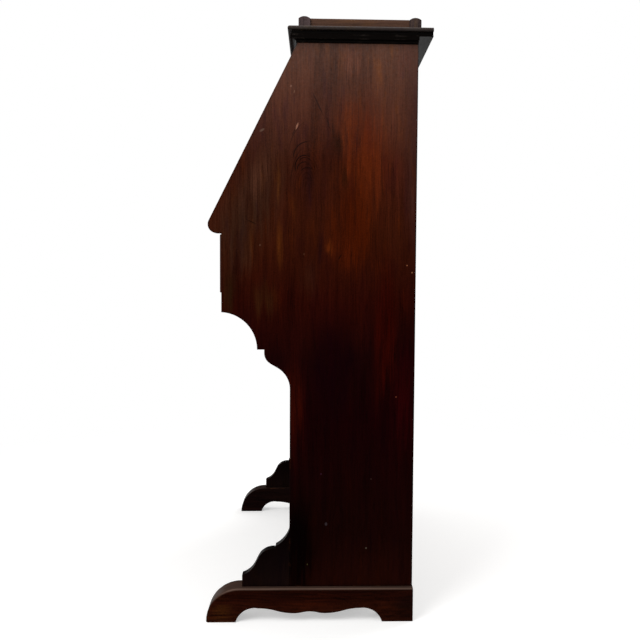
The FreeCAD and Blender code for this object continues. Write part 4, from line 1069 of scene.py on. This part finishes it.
FAR_SIDE = Wood("mahogany of the left side", Grain.UPRIGHT_SIDE, SIDE_TONES_WITH_SHADE_AND_SHEEN, seed=3.1,
                flame=(0.05, 0.7), polish=SIDE_POLISH, arris=0.0028, arris_shade=0.6)
NEAR_SIDE = replace(
    FAR_SIDE, name="mahogany of the right side", seed=0.0, flame=(-0.022, 0.842), arch=0.5,
    ring_gap=0.0082, flame_reach=0.095, fade=1.2, figure=0.24, shine=0.006, arris=0.005,
    arris_shade=0.8, wear=0.18,
    patches=(
        Patch(0.06, 1.07, 0.05, 0.05, tone(98, 56, 40), 0.45),
        Patch(0.165, 1.07, 0.03, 0.06, tone(80, 42, 34), 0.4),
        Patch(0.15, 0.86, 0.03, 0.1, tone(74, 30, 18), 0.4),
        Patch(0.05, 0.95, 0.05, 0.09, tone(90, 38, 15), 0.6),
        Patch(0.09, 0.885, 0.08, 0.2, tone(78, 28, 8), 0.8),
        Patch(0.07, 0.77, 0.08, 0.16, tone(60, 17, 2), 0.8),
        Patch(-0.13, 0.8, 0.09, 0.26, tone(46, 26, 16), 0.6, -26.0),
        Patch(0.19, 0.92, 0.05, 0.34, tone(52, 27, 22), 0.7),
        Patch(0.03, 0.916, 0.018, 0.055, tone(32, 13, 5), 0.6, 8.0),
        Patch(0.048, 0.857, 0.018, 0.045, tone(36, 14, 4), 0.5, 8.0),
        Patch(-0.0198, 0.848, 0.009, 0.036, tone(30, 11, 11), 0.6),
        # Near black at the lower front, where the side meets its bracket: painted shade over the
        # wood's own dark tone
        Patch(-0.035, 0.14, 0.075, 0.17, tone(3, 0, 0), 1.0),
        Patch(-0.1, 0.62, 0.04, 0.06, tone(44, 20, 7), 0.6),
        Patch(0.17, 0.44, 0.04, 0.2, tone(36, 2, 3), 0.6),
        Patch(-0.118, 0.855, 0.045, 0.1, tone(68, 38, 26), 0.6, -26.0),
        Patch(-0.137, 0.706, 0.045, 0.06, tone(50, 26, 15), 0.4),
        Patch(-0.166, 0.64, 0.022, 0.08, tone(34, 17, 6), 0.6),
        Patch(-0.016, 0.665, 0.035, 0.07, tone(50, 21, 11), 0.5),
        Patch(0.048, 0.72, 0.03, 0.06, tone(74, 23, 4), 0.45),
        Patch(0.03, 0.5, 0.07, 0.16, tone(15, 1, 3), 0.8),
        Patch(0.13, 0.56, 0.035, 0.24, tone(48, 5, 1), 0.6),
        Patch(-0.045, 0.42, 0.035, 0.16, tone(48, 9, 3), 0.65),
        Patch(-0.02, 0.84, 0.02, 0.07, tone(38, 13, 12), 0.6),
        Patch(-0.074, 0.847, 0.009, 0.06, tone(72, 37, 13), 0.5),
        Patch(-0.07, 0.735, 0.013, 0.08, tone(74, 34, 8), 0.6),
        Patch(-0.05, 0.8, 0.013, 0.035, tone(68, 28, 8), 0.45),
        Patch(0.008, 0.72, 0.014, 0.06, tone(28, 8, 8), 0.6),
        Patch(0.026, 0.722, 0.012, 0.026, tone(92, 37, 8), 0.5),
    ),
    dents=(
        Dent(-0.0523, 1.0209, 0.003, 0.0025, 40.0, tone(124, 88, 72), 0.6),
        Dent(-0.046, 1.011, 0.0016, 0.004, -15.0, tone(116, 82, 64), 0.5),
        Dent(-0.0408, 0.9471, 0.0022, 0.009, -20.0, tone(146, 100, 80), 0.8),
        Dent(-0.0463, 0.937, 0.0012, 0.012, -26.0, tone(24, 8, 5), 0.7),
        Dent(-0.1063, 0.9389, 0.007, 0.003, 30.0, tone(96, 74, 62), 0.6),
        Dent(-0.1098, 0.7242, 0.0022, 0.0026, 0.0, tone(84, 56, 42), 0.7),
        Dent(-0.0266, 0.7079, 0.0016, 0.003, 0.0, tone(80, 48, 34), 0.5),
        Dent(0.1693, 0.6877, 0.0018, 0.0018, 0.0, tone(136, 82, 54)),
        Dent(0.179, 0.6743, 0.0018, 0.002, 0.0, tone(140, 92, 64)),
        Dent(0.1511, 0.4356, 0.0018, 0.0018, 0.0, tone(110, 56, 38)),
        Dent(0.0079, 0.2859, 0.0018, 0.0026, 0.0, tone(56, 28, 44), 0.6),
        Dent(0.1045, 0.2761, 0.0018, 0.0016, 0.0, tone(60, 42, 38), 0.7),
        Dent(0.0181, 0.1879, 0.0034, 0.0045, 0.0, tone(52, 44, 48), 0.8),
        Dent(0.096, 0.1404, 0.0022, 0.0024, 0.0, tone(76, 66, 56)),
        Dent(-0.0177, 0.1085, 0.0016, 0.0022, 0.0, tone(64, 58, 34), 0.8),
        Dent(0.0416, 0.7028, 0.0016, 0.008, -30.0, tone(12, 3, 2), 0.8),
        Dent(-0.0016, 0.9884, 0.0016, 0.031, 26.0, tone(26, 12, 9), 0.75),
        Dent(0.0182, 0.952, 0.0018, 0.018, 18.0, tone(28, 12, 6), 0.6),
        Dent(-0.1249, 0.7673, 0.012, 0.0012, -24.0, tone(14, 6, 4), 0.8),
        # Not a knock: a long dark line down the back edge, painted shade along the arris
        Dent(0.1862, 0.62, 0.003, 0.68, 0.0, tone(12, 3, 3), 0.8),
    ),
    veins=(
        Vein(-0.018, 0.8899, 0.0292, 0.0288, 0.055, 135.0, 0.7, 0.85),
        Vein(-0.0255, 0.8711, 0.0187, 0.022, 0.075, 130.0, 0.34, 1.0),
        Vein(-0.0255, 0.8711, 0.0152, 0.0177, 0.07, 90.0, 0.7, 0.9),
        Vein(-0.0255, 0.868, 0.0142, 0.0127, 0.1, 130.0, 0.6, 1.0),
        Vein(-0.021, 0.8585, 0.0125, 0.012, 0.1, 100.0, 0.6, 0.9),
        Vein(-0.018, 0.8375, 0.034, 0.074, 0.03, 150.0, 0.86, 0.55),
        Vein(-0.0125, 0.884, 0.045, 0.074, 0.022, 138.0, 0.9, 0.6),
        Vein(-0.015, 0.872, 0.04, 0.05, 0.025, 150.0, 0.86, 0.35),
    ),
)
# The feet's upper faces carry a painted highlight along their rounded top edge
FOOT = Wood("mahogany of the feet", Grain.DEEP_SIDE, FOOT_TONES, seed=1.3, flame=(0.03, -0.1),
            figure=0.25, wear=0.5, streak=1.6, top_highlight=(tone(98, 78, 68), 0.85), arris_shade=0.7,
            patches=(
                Patch(-0.18, 0.02, 0.035, 0.03, tone(62, 32, 10), 0.6),
                Patch(-0.02, 0.046, 0.08, 0.02, tone(48, 15, 5), 0.5),
                Patch(0.175, 0.03, 0.05, 0.05, tone(18, 6, 4), 0.7),
            ), **MATT)
# The left foot is a darker copy of the right: painted shade, as it stands in shadow; its dimmer top
# highlight is painted too
FAR_FOOT = replace(FOOT, name="mahogany of the left foot in painted shade", seed=1.9, tones=DARK_AND_SHADED_TONES, patches=(),
                   top_highlight=(tone(60, 42, 36), 0.6))
# The brackets' near-black is painted shade over the wood's own dark tone
BRACKET = Wood("mahogany of the brackets with painted shade", Grain.UPRIGHT_SIDE, DARK_AND_SHADED_TONES, seed=2.2, arris_shade=0.8,
               **MATT)
# The top and the moulding are black: painted shade with a dark stain; the top also has a painted
# highlight along its rounded upper edge
TOP = Wood("dark polish, painted shade and painted highlight of the top", Grain.ACROSS_FLAT, seed=4.0, **BLACK)
BED = Wood("dark polish and painted shade of the moulding", Grain.ACROSS_FRONT, seed=4.4, **BLACK)
POSTS = Wood("wood of the gallery posts", Grain.UPRIGHT_SIDE, POST_TONES, seed=5.0, board=0.2,
             wear=0.5, streak=2.0)
SIDE_RAILS = Wood("wood of the gallery's side rails", Grain.DEEP_SIDE, RAIL_TONES, seed=5.5)
BACK_RAIL = Wood("wood of the gallery's back rail", Grain.ACROSS_FRONT, RAIL_TONES, seed=5.9)
FLAT = Wood("mahogany of the shelves", Grain.ACROSS_FLAT, SHOW_TONES, seed=6.3, flame=(0.06, 0.05),
            figure=0.25)
RAIL = Wood("mahogany of the rails", Grain.ACROSS_FRONT, SHOW_TONES, seed=7.1, flame=(1.08, 0.0),
            figure=0.3)
DRAWER_SHOW = Wood("mahogany of the drawer front", Grain.ACROSS_FRONT, SHOW_TONES, seed=8.2,
                   flame=(0.69, -0.16), figure=0.4)
DIVIDER = Wood("mahogany of the lopers", Grain.DEEP_SIDE, SHOW_TONES, seed=9.4)
PANEL = Wood("mahogany of the fall", Grain.SLOPE_PANEL, SHOW_TONES, seed=10.6, flame=(0.17, -0.2),
             arch=0.28, figure=0.45)
CLEAT = Wood("mahogany of the cleats", Grain.SLOPE_CLEAT, SHOW_TONES, seed=11.9, board=0.2)
NEST_FLAT = Wood("waxed mahogany of the nest shelves", Grain.ACROSS_FLAT, NEST_TONES, seed=12.7,
                 dull=0.45)
NEST_UP = Wood("waxed mahogany of the nest uprights", Grain.UPRIGHT_SIDE, NEST_TONES, seed=13.5,
               dull=0.45)
NEST_FRONT = Wood("waxed mahogany of the small drawers", Grain.ACROSS_FRONT, NEST_TONES, seed=14.2,
                  dull=0.4)
LINING_DEEP = Wood("plain wood along the drawers", Grain.DEEP_SIDE, LINING_TONES, seed=15.1, **PLAIN)
LINING_ACROSS = Wood("plain wood across the drawers", Grain.ACROSS_FLAT, LINING_TONES, seed=16.3,
                     **PLAIN)
BACK_BOARDS = Wood("stained wood of the back", Grain.UPRIGHT_BACK, BACK_TONES, seed=17.2,
                   board=0.23187, **PLAIN)
BRASS = Metal("aged brass", tone(214, 172, 98), tone(96, 66, 34))
STEEL = Metal("worn steel", tone(176, 172, 166), tone(70, 54, 44), dull=0.34, spread=0.7)
HIDE = Leather("green writing leather", tone(38, 54, 34), tone(66, 72, 44), tone(196, 152, 76))


@dataclass
class Carcase:
    """The sides, feet, top, shelves and back."""

    nail_radius: float = 0.0017
    nail_rise: float = 0.0006
    nail_heights: tuple[float, ...] = (0.107, 0.347, 0.602, 0.756, 0.888, 1.012, 1.1)
    nail_inset: float = 0.022
    nail_stray: float = 0.002
    back_boards: int = 3
    tongue: float = 0.0011
    tongue_steps: int = 24

    def dress(self) -> None:
        """Finishes every board of the carcase."""
        dress(NEAR_SIDE.make(), "side_right")
        dress(FAR_SIDE.make(), "side_left")
        dress(FOOT.make(), "foot_right")
        dress(FAR_FOOT.make(), "foot_left")
        dress(BRACKET.make(), "foot_bracket_right", "foot_bracket_left")
        dress(TOP.make(), "top_board")
        dress(BED.make(), "bed_moulding")
        dress(POSTS.make(), "gallery_posts")
        dress(SIDE_RAILS.make(), "gallery_rail_right", "gallery_rail_left")
        dress(BACK_RAIL.make(), "gallery_rail_back")
        dress(FLAT.make(), "shelf_lower", "shelf_upper", "writing_board")
        dress(RAIL.make(), "plinth_rail", "top_rail", "drawer_rail")
        dress(DIVIDER.make(), "drawer_divider_right", "drawer_divider_left", "loper_right",
              "loper_left")
        dress(LINING_DEEP.make(), "drawer_runner_right", "drawer_runner_left", "drawer_side_right",
              "drawer_side_left", "small_drawer_right_tray", "small_drawer_left_tray")
        dress(LINING_ACROSS.make(), "dust_board", "drawer_back", "drawer_bottom")
        boards = BACK_BOARDS.make()
        dress(boards, "back_boards")
        self.tongues(boards)

    def nails(self, metal: bpy.types.Material) -> None:
        """Drives rows of nails through the back boards into the shelves.

        Each strays a little from its row, by a sine of its place.

        Args:
            metal: their material.
        """
        head = turned([(0.0, self.nail_rise), (self.nail_radius * 0.7, self.nail_rise * 0.8),
                       (self.nail_radius, 0.0), (self.nail_radius, -self.nail_rise)], 14)
        low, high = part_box("back_boards")
        width = (high[0] - low[0]) / self.back_boards
        edges = low[0] + width * np.arange(self.back_boards)
        across = np.sort(np.concatenate([edges + self.nail_inset, edges + width - self.nail_inset]))
        heads = []
        for row, height in enumerate(self.nail_heights):
            stray = self.nail_stray * np.sin(across * 61.0 + row * 2.3)
            for x, shift in zip(across, stray):
                at = np.array([x + shift, high[1], height + shift * 0.7])
                heads.append(head.placed(RIGHT, -UP, BACKWARD, at))
        piece("back_nails", heads, "carcase", metal)

    def tongues(self, wood: bpy.types.Material) -> None:
        """Lets a loose tongue into each joint of the back boards, so that no light passes.

        Args:
            wood: their material.
        """
        low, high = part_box("back_boards")
        steps = self.tongue_steps
        path = np.empty((steps, 3))
        path[:, 1] = (low[1] + high[1]) / 2
        path[:, 2] = np.linspace(low[2] + self.tongue, high[2] - self.tongue, steps)
        shells = []
        for number in range(1, self.back_boards):
            path[:, 0] = low[0] + (high[0] - low[0]) * number / self.back_boards
            shells.append(tube(path, np.full(steps, self.tongue), BACKWARD, 8))
        piece("back_tongues", shells, "carcase", wood)


@dataclass
class Fall:
    """The sloping fall with its leather, hinges and lock."""

    screw_radius: float = 0.0023
    screw_rise: float = 0.0002
    screw_across: float = 0.0255
    screw_up: tuple[float, float] = (0.3195, 0.3385)
    keep_radius: float = 0.0018
    keep_across: float = 0.014
    keep_up: float = 0.3578
    keep_out: float = 0.0055
    key_axis: np.ndarray = field(default_factory=lambda: np.array(JOINTS["key_turn"]["pos_m"]))
    stem: float = 0.034
    bow: float = 0.0088
    bow_wire: float = 0.0013
    bow_swell: float = 0.0005
    bit_long: float = 0.0058
    bit_half: float = 0.0009
    bit_ends: tuple[float, float] = (0.0042, 0.0068)

    def dress(self, brass: bpy.types.Material) -> None:
        """Finishes the fall's boards, leather and fittings.

        Args:
            brass: the fittings' material.
        """
        dress(PANEL.make(), "fall_panel")
        dress(CLEAT.make(), "fall_cleat_right", "fall_cleat_left")
        dress(HIDE.make(), "writing_leather")
        dress(brass, "hinge_board_leaves", "hinge_board_screws", "hinge_fall_leaves",
              "hinge_fall_screws", "lock_case", "lock_bolt", "lock_keep", "escutcheon")

    def slope_place(self, across: float, up: float, out: float) -> np.ndarray:
        """A place on the closed fall, from its middle, up its slope and out from its inner face."""
        return np.array([across, HINGE[1], HINGE[2]]) + UP_SLOPE * up + OFF_SLOPE * out

    def screws(self, brass: bpy.types.Material) -> None:
        """Fixes the lock with four screws and its keep with two.

        Args:
            brass: their material.
        """
        heads = []
        for number, across in enumerate((-self.screw_across, self.screw_across)):
            for up in self.screw_up:
                head = screw_head(self.screw_radius, self.screw_rise, 0.4 + number + up * 30.0)
                at = self.slope_place(across, up, 0.0)
                heads.append(head.placed(RIGHT, -UP_SLOPE, -OFF_SLOPE, at))
        piece("lock_screws", heads, "fall", brass)
        heads = []
        for across in (-self.keep_across, self.keep_across):
            head = screw_head(self.keep_radius, self.screw_rise, across * 90.0)
            at = self.slope_place(across, self.keep_up, self.keep_out)
            heads.append(head.placed(RIGHT, OFF_SLOPE, -UP_SLOPE, at))
        piece("keep_screws", heads, "carcase", brass)

    def key(self, steel: bpy.types.Material) -> None:
        """Makes the key: a turned shank, a collar, a bit inside the lock and a ring bow.

        The bow is an oval ring whose thickness swells towards the shank and at its end, with the
        square of a cosine.

        Args:
            steel: its material.
        """
        shank = turned([
            (0.0, 0.0019), (0.0019, 0.002), (0.0022, 0.003), (0.0022, 0.0235), (0.003, 0.0245),
            (0.0037, 0.0258), (0.003, 0.0271), (0.0023, 0.028), (0.0022, 0.031), (0.0029, 0.0322),
            (0.0022, 0.0334), (0.0016, self.stem + 0.001), (0.0, self.stem + 0.0012),
        ], 24)
        turn = np.linspace(0.0, math.tau, 48, endpoint=False)
        wide = self.bow * (1.0 + 0.12 * np.abs(np.sin(turn)))
        out = self.stem + self.bow - self.bow * np.cos(turn)
        ring = np.stack([np.zeros_like(turn), wide * np.sin(turn), out], 1)
        bow = tube(ring, self.bow_wire + self.bow_swell * np.cos(turn) ** 2, RIGHT, 12, True)
        long, half, (low, high) = self.bit_long, self.bit_half, self.bit_ends
        outline = ((0, low), (long, low), (long, high), (0, high))
        corners = np.array([(x, -half, z) for x, z in outline])
        bit = woven(np.stack([corners, corners * [1, -1, 1]]), (False, True))
        shells = [shell.placed(RIGHT, UP_SLOPE, OFF_SLOPE, self.key_axis)
                  for shell in (shank, bow, bit)]
        piece("door_key", shells, "key", steel, ("key",))


@dataclass
class LongDrawer:
    """The long drawer with its two drop handles."""

    span: float = 0.076
    reach: float = 0.0135
    plate: float = 0.0104
    drop: float = 0.024
    arm_out: float = 0.0115
    tail_long: float = 0.0115
    bend: float = 0.007
    in_eye: float = 0.002
    belly: float = 0.0012
    wire: float = 0.00165
    wire_swell: float = 0.0009
    bead: float = 0.0011
    bead_half: float = 0.0024

    def dress(self) -> None:
        """Finishes the drawer's front, with the tails of its sides on its ends."""
        front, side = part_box("drawer_front"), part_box("drawer_side_right")
        back, low, high = front[1][1], side[0][2], side[1][2]
        tails = Tails(back - self.tail_long, back, low, high, count=4, reach=side[1][0])
        dress(replace(DRAWER_SHOW, tails=tails).make(), "drawer_front")

    def eye(self, side: str) -> np.ndarray:
        """The middle of a bail's axis."""
        return np.array(JOINTS["bail_%s_swing" % side]["pos_m"])

    def posts(self, brass: bpy.types.Material) -> None:
        """Turns the four plates and eyes: a stepped disc, a waist and a ball.

        Args:
            brass: their material.
        """
        profile = [
            (0.0, 0.0), (self.plate, 0.0), (self.plate, 0.0007), (self.plate - 0.0009, 0.0013),
            (self.plate - 0.0021, 0.0012), (self.plate - 0.0028, 0.0019),
            (self.plate - 0.0044, 0.0021), (0.005, 0.0023), (0.0044, 0.0034), (0.003, 0.0044),
            (0.0028, 0.0062), (0.0033, 0.0072), (0.003, 0.008), (0.0036, 0.0092), (0.0047, 0.011),
            (0.0051, 0.013), (0.0049, 0.0148), (0.004, 0.0168), (0.0024, 0.0182), (0.0, 0.0187),
        ]
        shells = []
        for side in ("right", "left"):
            for way in (-0.5, 0.5):
                at = self.eye(side) + [self.span * way, self.reach, 0.0]
                shells.append(turned(profile, 36).placed(RIGHT, UP, -BACKWARD, at))
        piece("drawer_plates", shells, "drawer", brass, ("handle_posts",), 50.0)

    def bails(self, brass: bpy.types.Material) -> None:
        """Bends the two bails: rounded corners, a bellied grip and a bead at its middle.

        Args:
            brass: their material.
        """
        path, radius = self.bail_line()
        for side in ("right", "left"):
            bail = "bail_" + side
            shell = tube(path + self.eye(side), radius, BACKWARD, 16)
            piece("drawer_" + bail, [shell], bail, brass, ("handle_" + bail,), 60.0)

    def bail_line(self) -> tuple[np.ndarray, np.ndarray]:
        """The bail's middle line and its radius.

        Returns:
            Points from the left eye round to the right one: straight runs between corners drawn as
            quarter circles; and radii that grow with the cosine of the place along the grip, with
            a bell-shaped bead at its middle.
        """
        arm = self.span / 2 + self.arm_out
        start = self.span / 2 - self.in_eye
        quarter = np.linspace(0.0, math.pi / 2, 9)
        along, down = self.bend * np.sin(quarter), self.bend * np.cos(quarter)
        upper = np.stack([self.bend - arm - along, down - self.bend], 1)
        lower = np.stack([self.bend - arm - down, self.bend - self.drop - along], 1)
        grip_x = np.linspace(self.bend - arm, 0.0, 26)[1:]
        belly = np.cos(grip_x / (arm - self.bend) * math.pi / 2) ** 2
        grip = np.stack([grip_x, -self.drop - self.belly * belly], 1)
        left = np.concatenate([[[-start, 0.0]], upper, lower, grip])
        line = np.concatenate([left, (left * [-1, 1])[-2::-1]])
        path = np.stack([line[:, 0], np.zeros(len(line)), line[:, 1]], 1)
        low = np.clip((-line[:, 1] - self.drop * 0.6) / (self.drop * 0.4), 0.0, 1.0)
        swell = np.cos(np.clip(np.abs(line[:, 0]) / arm, 0.0, 1.0) * math.pi / 2)
        bead = np.exp(-(line[:, 0] / self.bead_half) ** 2) * low
        return path, self.wire + low * swell * self.wire_swell + bead * self.bead


@dataclass
class Nest:
    """The stationery nest with its two small drawers."""

    valance_thick: float = 0.004
    valance_high: float = 0.02
    valance_rise: float = 0.014
    valance_set: float = 0.002
    valance_steps: int = 49
    partition: float = 0.006
    tail_long: float = 0.006

    def dress(self) -> None:
        """Finishes the nest's boards and the small drawers' fronts."""
        dress(NEST_FLAT.make(), "nest_top", "nest_shelves")
        dress(NEST_UP.make(), "nest_end_right", "nest_end_left", "nest_divider_right",
              "nest_divider_left", "nest_partitions")
        front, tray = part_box("small_drawer_right_front"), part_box("small_drawer_right_tray")
        back = front[1][1]
        tails = Tails(back - self.tail_long, back, tray[0][2], tray[1][2], count=3)
        fronts = replace(NEST_FRONT, tails=tails).make()
        dress(fronts, "small_drawer_right_front", "small_drawer_left_front")

    def knobs(self, brass: bpy.types.Material) -> None:
        """Turns the two knobs: a collar, a waist and a flattened ball with a ring cut in it.

        Args:
            brass: their material.
        """
        profile = [
            (0.0, 0.0), (0.0056, 0.0), (0.0056, 0.0008), (0.0048, 0.0016), (0.0036, 0.002),
            (0.0029, 0.0032), (0.0028, 0.0048), (0.0036, 0.006), (0.0056, 0.007), (0.007, 0.0084),
            (0.0075, 0.0102), (0.0071, 0.0122), (0.006, 0.0136), (0.005, 0.014), (0.0044, 0.0138),
            (0.003, 0.0148), (0.0, 0.0153),
        ]
        for side in ("right", "left"):
            drawer = "small_drawer_" + side
            low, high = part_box(drawer + "_front")
            at = np.array([(low[0] + high[0]) / 2, low[1], (low[2] + high[2]) / 2])
            shell = turned(profile, 36).placed(RIGHT, UP, -BACKWARD, at)
            piece("nest_knob_" + side, [shell], drawer, brass, (drawer + "_knob",), 50.0)

    def valances(self, wood: bpy.types.Material) -> None:
        """Sets a thin shaped valance at the head of each opening.

        Its lower edge is level at both ends and in the middle. Between them it rises with the
        square root of a sine.

        Args:
            wood: their material.
        """
        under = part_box("nest_top")[0]
        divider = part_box("nest_divider_right")
        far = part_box("nest_partitions")[1][0]
        bays = [(-divider[0][0], divider[0][0]), (divider[1][0], far - self.partition),
                (far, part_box("nest_end_right")[0][0])]
        bays += [(-high, -low) for low, high in bays[1:]]
        across = np.linspace(0.0, 1.0, self.valance_steps)
        swell = np.clip(np.sin(across * math.pi) * 1.25 - 0.18, 0.0, 1.0)
        lower = under[2] - self.valance_high + self.valance_rise * np.sqrt(swell)
        front = np.full_like(across, under[1] + self.valance_set)
        back = front + self.valance_thick
        top = np.full_like(across, under[2])
        shells = []
        for low, high in bays:
            x = low + (high - low) * across
            rows = ((x, front, top), (x, front, lower), (x, back, lower), (x, back, top))
            shells.append(woven(np.stack([np.stack(row, 1) for row in rows], 1), (False, True)))
        piece("nest_valances", shells, "carcase", wood, (), 30.0)


@dataclass
class Studio:
    """The camera, the lamps and the pale floor."""

    focal_pixels: float = 780.0
    middle: tuple[float, float] = (339.74, 321.8)
    picture: float = 640.0
    sensor: float = 36.0
    eye: tuple[float, float, float] = (1.85097, -0.00218, 0.66461)
    yaw: float = 0.02976
    pitch: float = 0.05715
    roll: float = -0.00698
    surround: float = 0.5
    lamps: tuple[tuple[str, tuple[float, float, float], float, float], ...] = (
        ("high lamp", (1.9, -1.7, 2.3), 1.8, 62.0),
        ("back lamp", (-1.6, 1.9, 2.2), 2.0, 46.0),
    )
    lamps_aim: tuple[float, float, float] = (0.0, 0.0, 0.65)
    floor_half: float = 8.0
    floor_under: float = 0.0003
    floor_fade: tuple[float, float] = (0.75, 1.7)
    floor_tone: Colour = (0.8, 0.795, 0.785)
    floor_glow: float = 0.42

    def camera(self) -> None:
        """Stands the camera to the right of the bureau, with the picture's own frame."""
        turn_yaw = Matrix.Rotation(self.yaw, 3, "Y")
        turn_pitch = Matrix.Rotation(self.pitch, 3, "X")
        turn_roll = Matrix.Rotation(self.roll, 3, "Z")
        facing = Matrix(((0.0, 1.0, 0.0), (0.0, 0.0, 1.0), (1.0, 0.0, 0.0)))
        turn = (turn_roll @ turn_pitch @ turn_yaw @ facing).transposed().to_4x4()
        lens = bpy.data.cameras.new("camera")
        lens.sensor_width = self.sensor
        lens.lens = self.focal_pixels * self.sensor / self.picture
        lens.shift_x = (self.picture / 2 - self.middle[0]) / self.picture
        lens.shift_y = (self.middle[1] - self.picture / 2) / self.picture
        lens.clip_start = 0.01
        made = bpy.data.objects.new("camera", lens)
        made.matrix_world = Matrix.Translation(self.eye) @ turn
        bpy.context.scene.collection.objects.link(made)
        bpy.context.scene.camera = made

    def lamp(self, name: str, at: tuple[float, float, float], size: float, watts: float) -> None:
        """Hangs a square soft lamp that looks at the middle of the bureau.

        Args:
            name: the lamp's name.
            at: its place.
            size: its width and height.
            watts: its power.
        """
        light = bpy.data.lights.new(name, "AREA")
        light.size = size
        light.energy = watts
        made = bpy.data.objects.new(name, light)
        away = np.array(at) - self.lamps_aim
        tilt = math.atan2(math.hypot(away[0], away[1]), away[2])
        made.rotation_euler = (tilt, 0.0, math.atan2(away[1], away[0]) + math.pi / 2)
        made.location = at
        bpy.context.scene.collection.objects.link(made)

    def surroundings(self) -> None:
        """A white surround for the eye and for reflections, and a plain soft light for the rest."""
        world = bpy.data.worlds.new("surround")
        bpy.context.scene.world = world
        bench = Bench(world)
        level = {"Value": self.seen(bench), "To Min": self.surround}
        strength = bench.node("ShaderNodeMapRange", {}, level)
        shade = bench.node("ShaderNodeBackground", {}, {"Color": WHITE, "Strength": strength})
        bench.node("ShaderNodeOutputWorld", {}, {"Surface": shade})

    def seen(self, bench: Bench) -> Wire:
        """Tells what the eye sees, straight, reflected or through glass, from other light.

        Args:
            bench: the bench of the material or the world.

        Returns:
            1 for what the eye sees and 0 for other light.
        """
        rays = [bench.node("ShaderNodeLightPath", {}, {}, "Is %s Ray" % kind)
                for kind in ("Camera", "Glossy", "Transmission")]
        return bench.sum_of("MAXIMUM", bench.sum_of("MAXIMUM", *rays[:2]), rays[2])

    def floor(self) -> None:
        """A pale floor that fades into the surround and keeps the bureau's shadow."""
        bench = Bench(bpy.data.materials.new("pale floor"))
        x, y, _ = bench.parts(bench.place())
        far = bench.smooth((x * x + y * y) ** 0.5, *self.floor_fade)
        seen = self.seen(bench)
        grain = bench.noise(bench.place(), 14.0, 3.0)
        pale = bench.scaled(bench.mix(1.0, (0.8, 0.8, 0.8), self.floor_tone), 0.99 + grain * 0.02)
        matt = bench.node("ShaderNodeBsdfDiffuse", {}, {"Color": pale})
        strength = seen * self.floor_glow
        glow = bench.node("ShaderNodeEmission", {}, {"Color": WHITE, "Strength": strength})
        near = bench.node("ShaderNodeAddShader", {}, {0: matt, 1: glow})
        white = bench.node("ShaderNodeEmission", {}, {"Color": WHITE, "Strength": 1.0})
        shade = bench.node("ShaderNodeMixShader", {}, {0: far * seen, 1: near, 2: white})
        bench.node("ShaderNodeOutputMaterial", {}, {"Surface": shade})
        mesh = bpy.data.meshes.new("floor")
        half, under = self.floor_half, -self.floor_under
        ways = ((-half, -half), (half, -half), (half, half), (-half, half))
        corners = [(*way, under) for way in ways]
        mesh.from_pydata(corners, [], [(0, 1, 2, 3)])
        mesh.materials.append(bench.holder)
        made = bpy.data.objects.new("floor", mesh)
        bpy.context.scene.collection.objects.link(made)

    def set_up(self) -> None:
        """Sets up the camera, the lamps and the floor."""
        self.camera()
        for lamp in self.lamps:
            self.lamp(*lamp)
        self.surroundings()
        self.floor()
        bpy.context.scene.view_settings.view_transform = "Standard"


def main() -> None:
    """Dresses the bureau and sets up the studio."""
    logging.basicConfig(level=logging.INFO)
    brass, steel = BRASS.make(), STEEL.make()
    carcase, fall, drawer, nest = Carcase(), Fall(), LongDrawer(), Nest()
    carcase.dress()
    carcase.nails(steel)
    fall.dress(brass)
    fall.screws(brass)
    fall.key(steel)
    drawer.dress()
    drawer.posts(brass)
    drawer.bails(brass)
    nest.dress()
    nest.knobs(brass)
    nest.valances(replace(NEST_FRONT, name="waxed mahogany of the valances", seed=18.4).make())
    Studio().set_up()


if __name__ == "__main__":
    main()
